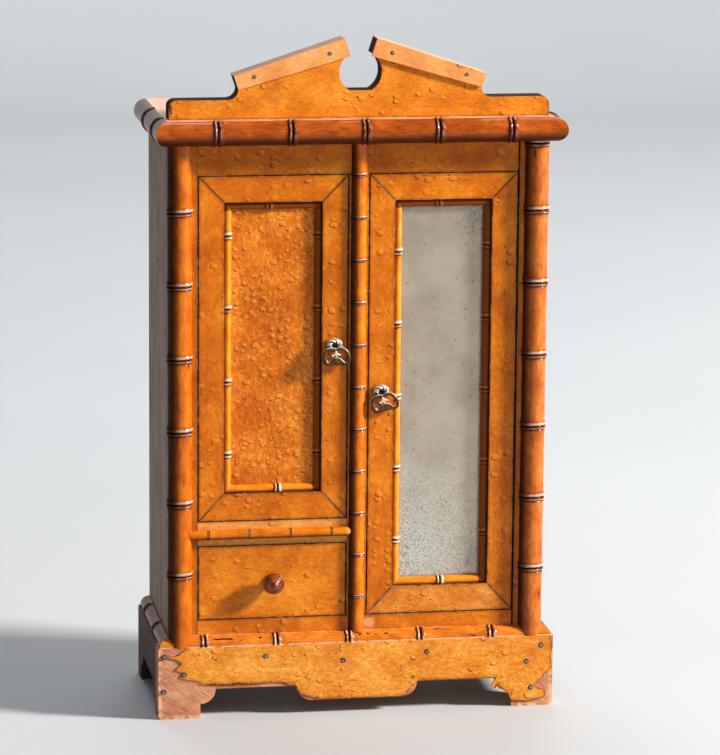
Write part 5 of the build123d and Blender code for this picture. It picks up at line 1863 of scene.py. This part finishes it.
@dataclass
class Pull:
    """A brass pull: a rope knot arched over a pin, and a two-lobed drop that swings on it."""

    side: str
    hinge_z: float
    tilt: float = 0.0
    face_y: float = FACE_Y
    standoff: float = 4.0
    knot_rise: float = 2.3
    knot_shift: float = -0.6
    arch_radius: float = 3.45
    strand: float = 1.22
    strand_orbit: float = 1.15
    strands: int = 3
    twists: float = 1.3
    wire: float = 1.5
    outline: tuple[Point, ...] = (
        (0.3, -0.3), (2.8, 0.5), (5.6, 0.4), (8.2, -1.4), (9.8, -4.4), (10.1, -7.6), (9.2, -10.0),
        (6.8, -10.3), (5.0, -8.9), (3.2, -7.5), (0.6, -7.2), (-1.4, -7.7), (-3.0, -9.4), (-5.2, -10.2),
        (-7.2, -8.8), (-8.1, -5.8), (-7.6, -2.6), (-5.8, -0.5), (-2.8, 0.2),
    )

    @property
    def x(self) -> float:
        """Returns the middle of the lock stile."""
        return Box.of(f"{self.side}_door_lock_stile").middle[0]

    def knot(self) -> Surface:
        """The fixed brass.

        Three strands wind round an arch: each strand's middle lies on the arch's half ellipse plus an
        orbit of small radius that turns about once from foot to foot. Below them are a thin plate and the
        pin between two cheeks.

        Returns:
            The knot, its plate, pin and cheeks.
        """
        share = np.linspace(0.0, 1.0, 90)
        bend = math.radians(-16.0) + share * math.radians(212.0)
        orbit = self.strand_orbit + self.strand
        middle_z = self.hinge_z + self.knot_rise + 0.5
        centre = np.array([self.x + self.knot_shift, self.face_y - orbit, middle_z])
        radial = np.stack([1.14 * np.cos(bend), np.zeros_like(bend), np.sin(bend)], -1)
        forward = np.array([0.0, -1.0, 0.0])
        strands = []
        for number in range(self.strands):
            turn = (number / self.strands - share[:, None] * self.twists) * TAU
            orbiting = np.cos(turn) * radial + np.sin(turn) * forward
            path = centre + self.arch_radius * radial + self.strand_orbit * orbiting
            thick = self.strand * (1.0 - 0.35 * np.abs(2 * share - 1.0) ** 6)
            # Painted highlight on the top and front of each strand, together with the rubbing.
            strands.append(tube(path, thick, radial, 16, highlight_by_facing=(0.55, 0.4, 0.28)))
        plate = lathe(
            [(0.0, -0.02), (4.2, -0.02), (4.5, 0.5), (4.1, 1.2), (0.0, 1.4)],
            (self.x + self.knot_shift, self.face_y, self.hinge_z + 2.2), 40,
        )
        plate.values["wear_and_highlight"] = np.full((len(plate.points), 3), 0.12)
        pin_path = np.stack([
            np.linspace(self.x - 3.0, self.x + 3.0, 12), np.full(12, self.face_y - self.standoff),
            np.full(12, self.hinge_z),
        ], -1)
        pin = tube(pin_path, np.full(12, 0.68), np.array([0.0, 0.0, 1.0]), 16)
        cheeks = []
        for sign in (-1, 1):
            reach = np.linspace(self.face_y - 1.2, self.face_y - self.standoff - 0.5, 10)
            fall = np.linspace(self.hinge_z + 1.9, self.hinge_z - 0.1, 10)
            path = np.stack([np.full(10, self.x + sign * 2.5), reach, fall], -1)
            cheeks.append(tube(path, np.linspace(0.75, 1.0, 10), np.array([1.0, 0.0, 0.0]), 14))
        return Surface.joined([*strands, plate, pin, *cheeks])

    def drop(self) -> Surface:
        """The swinging drop.

        The wire is one closed loop through the outline's points, smoothed by Catmull-Rom cubics: two arms
        leave the pin, swell into a lobe on either side, and curl up to meet in a cusp in the middle of
        the foot. The wire is thickest at the cusp, and a short thick bar fills the place under it. A
        small bow hangs from the crown.

        Returns:
            The drop, tilted and in its place.
        """
        closed = [*self.outline, self.outline[0], self.outline[1], self.outline[2]]
        curve = np.asarray(smooth_profile(closed, 9))
        lap = curve[9 : 9 + 9 * len(self.outline)]
        x, z = lap[:, 0], lap[:, 1]
        path = np.stack([x, 0.2 * np.cos(x / 4.0), z], -1)
        front = np.array([0.0, -1.0, 0.0])
        # Painted highlight on the drop's upward faces, and darker on its front.
        rim = (0.4, -0.86, 0.72)
        parts = [tube(path, self.wire * (1.0 - x / 46.0), front, 24, looped=True, highlight_by_facing=rim)]
        span = np.linspace(-1.0, 1.0, 22)
        for reach, drop_z, thick in ((6.2, -10.3, 1.2), (3.6, -8.7, 1.5)):
            bar = np.stack([0.8 + reach * span, np.full(22, 0.15), drop_z - 0.2 * span**2], -1)
            parts.append(tube(bar, thick * (1.0 - 0.25 * span**4), front, 18, highlight_by_facing=(0.35, 0.05, 0.02)))
        eye = np.linspace(0.0, TAU, 40, endpoint=False)
        collar = np.stack([np.zeros_like(eye), 1.18 * np.sin(eye), 1.18 * np.cos(eye) - 0.1], -1)
        parts.append(tube(collar, np.full(40, 0.5), np.array([1.0, 0.0, 0.0]), 14, looped=True))
        share = np.linspace(0.0, 1.0, 16)
        strokes = (
            ((-3.2, -4.0), (-1.3, -4.7)), ((-1.8, -3.1), (1.4, -4.8)), ((-0.3, -2.7), (3.4, -3.9)),
            ((-0.2, -0.8), (-0.2, -3.4)), ((0.4, -0.8), (0.4, -3.4)),
        )
        for low, high in strokes:
            plan = np.asarray(low) + (np.asarray(high) - np.asarray(low)) * share[:, None]
            stroke = np.stack([plan[:, 0], np.full(16, -0.9), plan[:, 1]], -1)
            thick = 0.92 * np.sqrt(1.0 - 0.9 * (2.0 * share - 1.0) ** 6)
            parts.append(tube(stroke, thick, front, 12, highlight_by_facing=(0.5, 0.35, 0.35)))
        drop = Surface.joined(parts)
        lean_angle = math.radians(self.tilt)
        turn = np.array([
            [math.cos(lean_angle), 0.0, -math.sin(lean_angle)], [0.0, 1.0, 0.0],
            [math.sin(lean_angle), 0.0, math.cos(lean_angle)],
        ])
        drop.points = drop.points @ turn.T + np.array([self.x, self.face_y - self.standoff, self.hinge_z])
        return drop

    def build(self, bench: Workbench) -> None:
        """Makes the knot and the drop.

        Args:
            bench: The workbench that makes pieces and finishes.
        """
        pull, door, drop = (f"{self.side}_{word}" for word in ("pull", "door", "drop"))
        bench.piece(f"{pull}_knot", self.knot(), AGED_BRASS, door, [f"{pull}_mount"], "aged_brass")
        bench.piece(f"{pull}_ring", self.drop(), DROP_BRASS, drop, [f"{pull}_drop"], "drop_brass")


@dataclass(frozen=True)
class KnobFinish:
    """Dark varnished turned wood, in rings about the knob's axis."""

    x: float
    z: float

    def make(self, name: str) -> bpy.types.Material:
        """Builds the material.

        Args:
            name: Name to give it.

        Returns:
            The material.
        """
        graph = Graph(name)
        x, y, z = graph.axes()
        place = graph.place()
        away = graph.math("SQRT", (x - self.x) * (x - self.x) + (z - self.z) * (z - self.z))
        turned = graph.noise(graph.vector(away * 1.0, y, 0.0), 0.8, 3.0)
        cloud = graph.noise(place, 5.0, 3.0)
        tone = turned.swing(0.7) + cloud.swing(1.2) + 0.5
        colour = graph.shades(tone, (paint(64, 24, 10), paint(118, 52, 24), paint(172, 90, 46)))
        constants = {"Coat Weight": 0.9, "Coat Roughness": 0.09, "Specular IOR Level": 0.2}
        return graph.close(constants, turned * 0.1, 0.4, Base_Color=colour, Roughness=0.3 + cloud.swing(0.2))


@dataclass
class Drawer:
    """The drawer: veneered front, turned knob and plain box."""

    knob_at: Point = Box.of("drawer_front").middle
    face_y: float = FACE_Y

    def build(self, bench: Workbench) -> None:
        """Makes the knob and dresses the box.

        Args:
            bench: The workbench that makes pieces and finishes.
        """
        front = Veneer(
            Grain.ACROSS, ground=paint(216, 118, 16), light=paint(244, 158, 48),
            front=Box.of("drawer_front").face, fleck_strength=0.3, eye_share=0.4, worn_strength=0.7,
        )
        bench.dress(["drawer_front"], front)
        box = ["drawer_left_side", "drawer_right_side", "drawer_back", "drawer_bottom"]
        bench.dress(box, INSIDE_LEVEL, "inside_level")
        outline = smooth_profile([
            (5.4, 0.0), (5.7, 0.6), (5.3, 1.4), (3.7, 2.0), (3.4, 2.9), (4.4, 3.9), (6.7, 5.3), (7.8, 7.3),
            (7.8, 8.9), (7.3, 10.1), (6.8, 10.4), (6.5, 10.3), (6.2, 10.9), (5.4, 11.9), (4.9, 12.1),
            (4.6, 12.0), (4.3, 12.6), (3.4, 13.4), (2.9, 13.4), (2.6, 14.0), (2.0, 14.9), (1.1, 15.4),
        ])
        shape = [(0.3, -0.4), (5.4, -0.4), *outline, (0.02, 15.5)]
        x, z = self.knob_at
        knob = lathe(shape, (x, self.face_y, z), 56)
        bench.piece("turned_knob", knob, KnobFinish(x, z), "drawer", ["drawer_knob"])


# ---------------------------------------------------------------- studio
@dataclass(frozen=True)
class Lamp:
    """A square soft light: where it hangs, what it faces, its width in metres, its watts and its tint."""

    place: tuple[float, float, float]
    aim: tuple[float, float, float]
    size: float
    power: float
    tint: Colour

    def hang(self, name: str) -> None:
        """Adds the light under that name.

        Args:
            name: Name to give it.
        """
        data = bpy.data.lights.new(name, "AREA")
        data.size = self.size
        data.energy = self.power
        data.color = self.tint
        lamp = bpy.data.objects.new(name, data)
        lamp.rotation_mode = "QUATERNION"
        lamp.rotation_quaternion = (Vector(self.aim) - Vector(self.place)).to_track_quat("-Z", "Y")
        lamp.location = self.place
        bpy.context.scene.collection.objects.link(lamp)


LAMPS = {
    "key": Lamp((3.4, -1.2, 2.05), (0.0, 0.0, 0.25), 0.55, 400.0, (1.0, 0.965, 0.91)),
    "fill": Lamp((-0.6, -3.2, 1.4), (0.0, 0.0, 0.25), 2.0, 7.0, (0.96, 0.98, 1.0)),
    "top": Lamp((0.0, 1.2, 2.6), (0.0, 0.0, 0.2), 1.6, 18.0, (1.0, 1.0, 1.0)),
    "wall": Lamp((0.0, 2.4, 3.9), (0.5, 4.1, 0.6), 1.8, 74.0, (0.97, 0.98, 1.0)),
}


@dataclass
class Studio:
    """Pale sweep, soft lights and the camera."""

    camera_at: tuple[float, float, float] = (-0.4698, -2.80485, 0.8101)
    yaw: float = 9.714
    pitch: float = 11.352
    roll: float = 0.49
    focal_px: float = 3935.0
    tall_px: float = 755.0
    sensor: float = 36.0
    sky: tuple[float, float, float, float] = (0.86, 0.9, 0.95, 1.0)
    sky_strength: float = 0.145

    def place_camera(self) -> None:
        """Places the camera by its yaw to the right, its pitch down and its roll."""
        yaw, pitch, roll = (math.radians(angle) for angle in (self.yaw, self.pitch, self.roll))
        ahead = Vector((math.sin(yaw) * math.cos(pitch), math.cos(yaw) * math.cos(pitch), -math.sin(pitch)))
        level = Vector((math.cos(yaw), -math.sin(yaw), 0.0))
        above = level.cross(ahead)
        right = level * math.cos(roll) + above * math.sin(roll)
        up = above * math.cos(roll) - level * math.sin(roll)
        data = bpy.data.cameras.new("view")
        data.sensor_width = self.sensor
        data.lens = self.focal_px * self.sensor / self.tall_px
        data.clip_end = 50.0
        eye = bpy.data.objects.new("view", data)
        turn = Matrix((right, up, -ahead)).transposed().to_4x4()
        eye.matrix_world = Matrix.Translation(self.camera_at) @ turn
        bpy.context.scene.collection.objects.link(eye)
        bpy.context.scene.camera = eye

    def sweep(self, bench: Workbench) -> None:
        """The ground: a floor that rises in a quarter circle to a wall, one curve drawn out sideways.

        Args:
            bench: The workbench that makes the ground's finish.
        """
        bend, reach, wall = 0.9, 3.2, 4.6
        angle = np.linspace(0.0, math.pi / 2, 24)
        y = np.concatenate([[-6.0, 0.0], reach + bend * np.sin(angle), [reach + bend]])
        z = np.concatenate([[0.0, 0.0], bend - bend * np.cos(angle), [wall]])
        x = np.array([-9.0, 9.0])
        points = np.stack([np.repeat(x, len(y)), np.tile(y, 2), np.tile(z, 2)], -1)
        mesh = bpy.data.meshes.new("sweep")
        mesh.from_pydata(points.tolist(), [], [face[::-1] for face in grid_faces(2, len(y), wrapped=False)])
        mesh.shade_smooth()
        mesh.materials.append(bench.material(Matte(), "pale_ground"))
        ground = bpy.data.objects.new("sweep", mesh)
        bpy.context.scene.collection.objects.link(ground)

    def build(self, bench: Workbench) -> None:
        """Sets up the ground, the lights, the sky and the camera.

        Args:
            bench: The workbench that makes pieces and finishes.
        """
        self.sweep(bench)
        for name, lamp in LAMPS.items():
            lamp.hang(name)
        world = bpy.data.worlds.new("studio")
        world.use_nodes = True
        sky = world.node_tree.nodes["Background"].inputs
        sky[0].default_value = self.sky
        sky[1].default_value = self.sky_strength
        bpy.context.scene.world = world
        bpy.context.scene.view_settings.view_transform = "Standard"
        self.place_camera()


def main() -> None:
    """Builds every sub-assembly in order."""
    logging.basicConfig(level=logging.INFO, format="%(name)s: %(message)s")
    bench = Workbench()
    plinth = Plinth()
    sub_assemblies = (
        plinth, Nails(plinth.nails), Columns(), Cornice(), Carcase(),
        Door("left", "left_door_panel", PANEL, 28.5, 28.5, -3.2, 3.9),
        Door("right", "mirror_glass", OldMirror(), 34.5, 38.5, -3.7, 0.7, faded=("bottom_rail",)),
        Pull("left", 270.8), Pull("right", 235.8, 12.0), Drawer(), Studio(),
    )
    for part in sub_assemblies:
        LOG.info("building %s", type(part).__name__)
        part.build(bench)


if __name__ == "__main__":
    main()
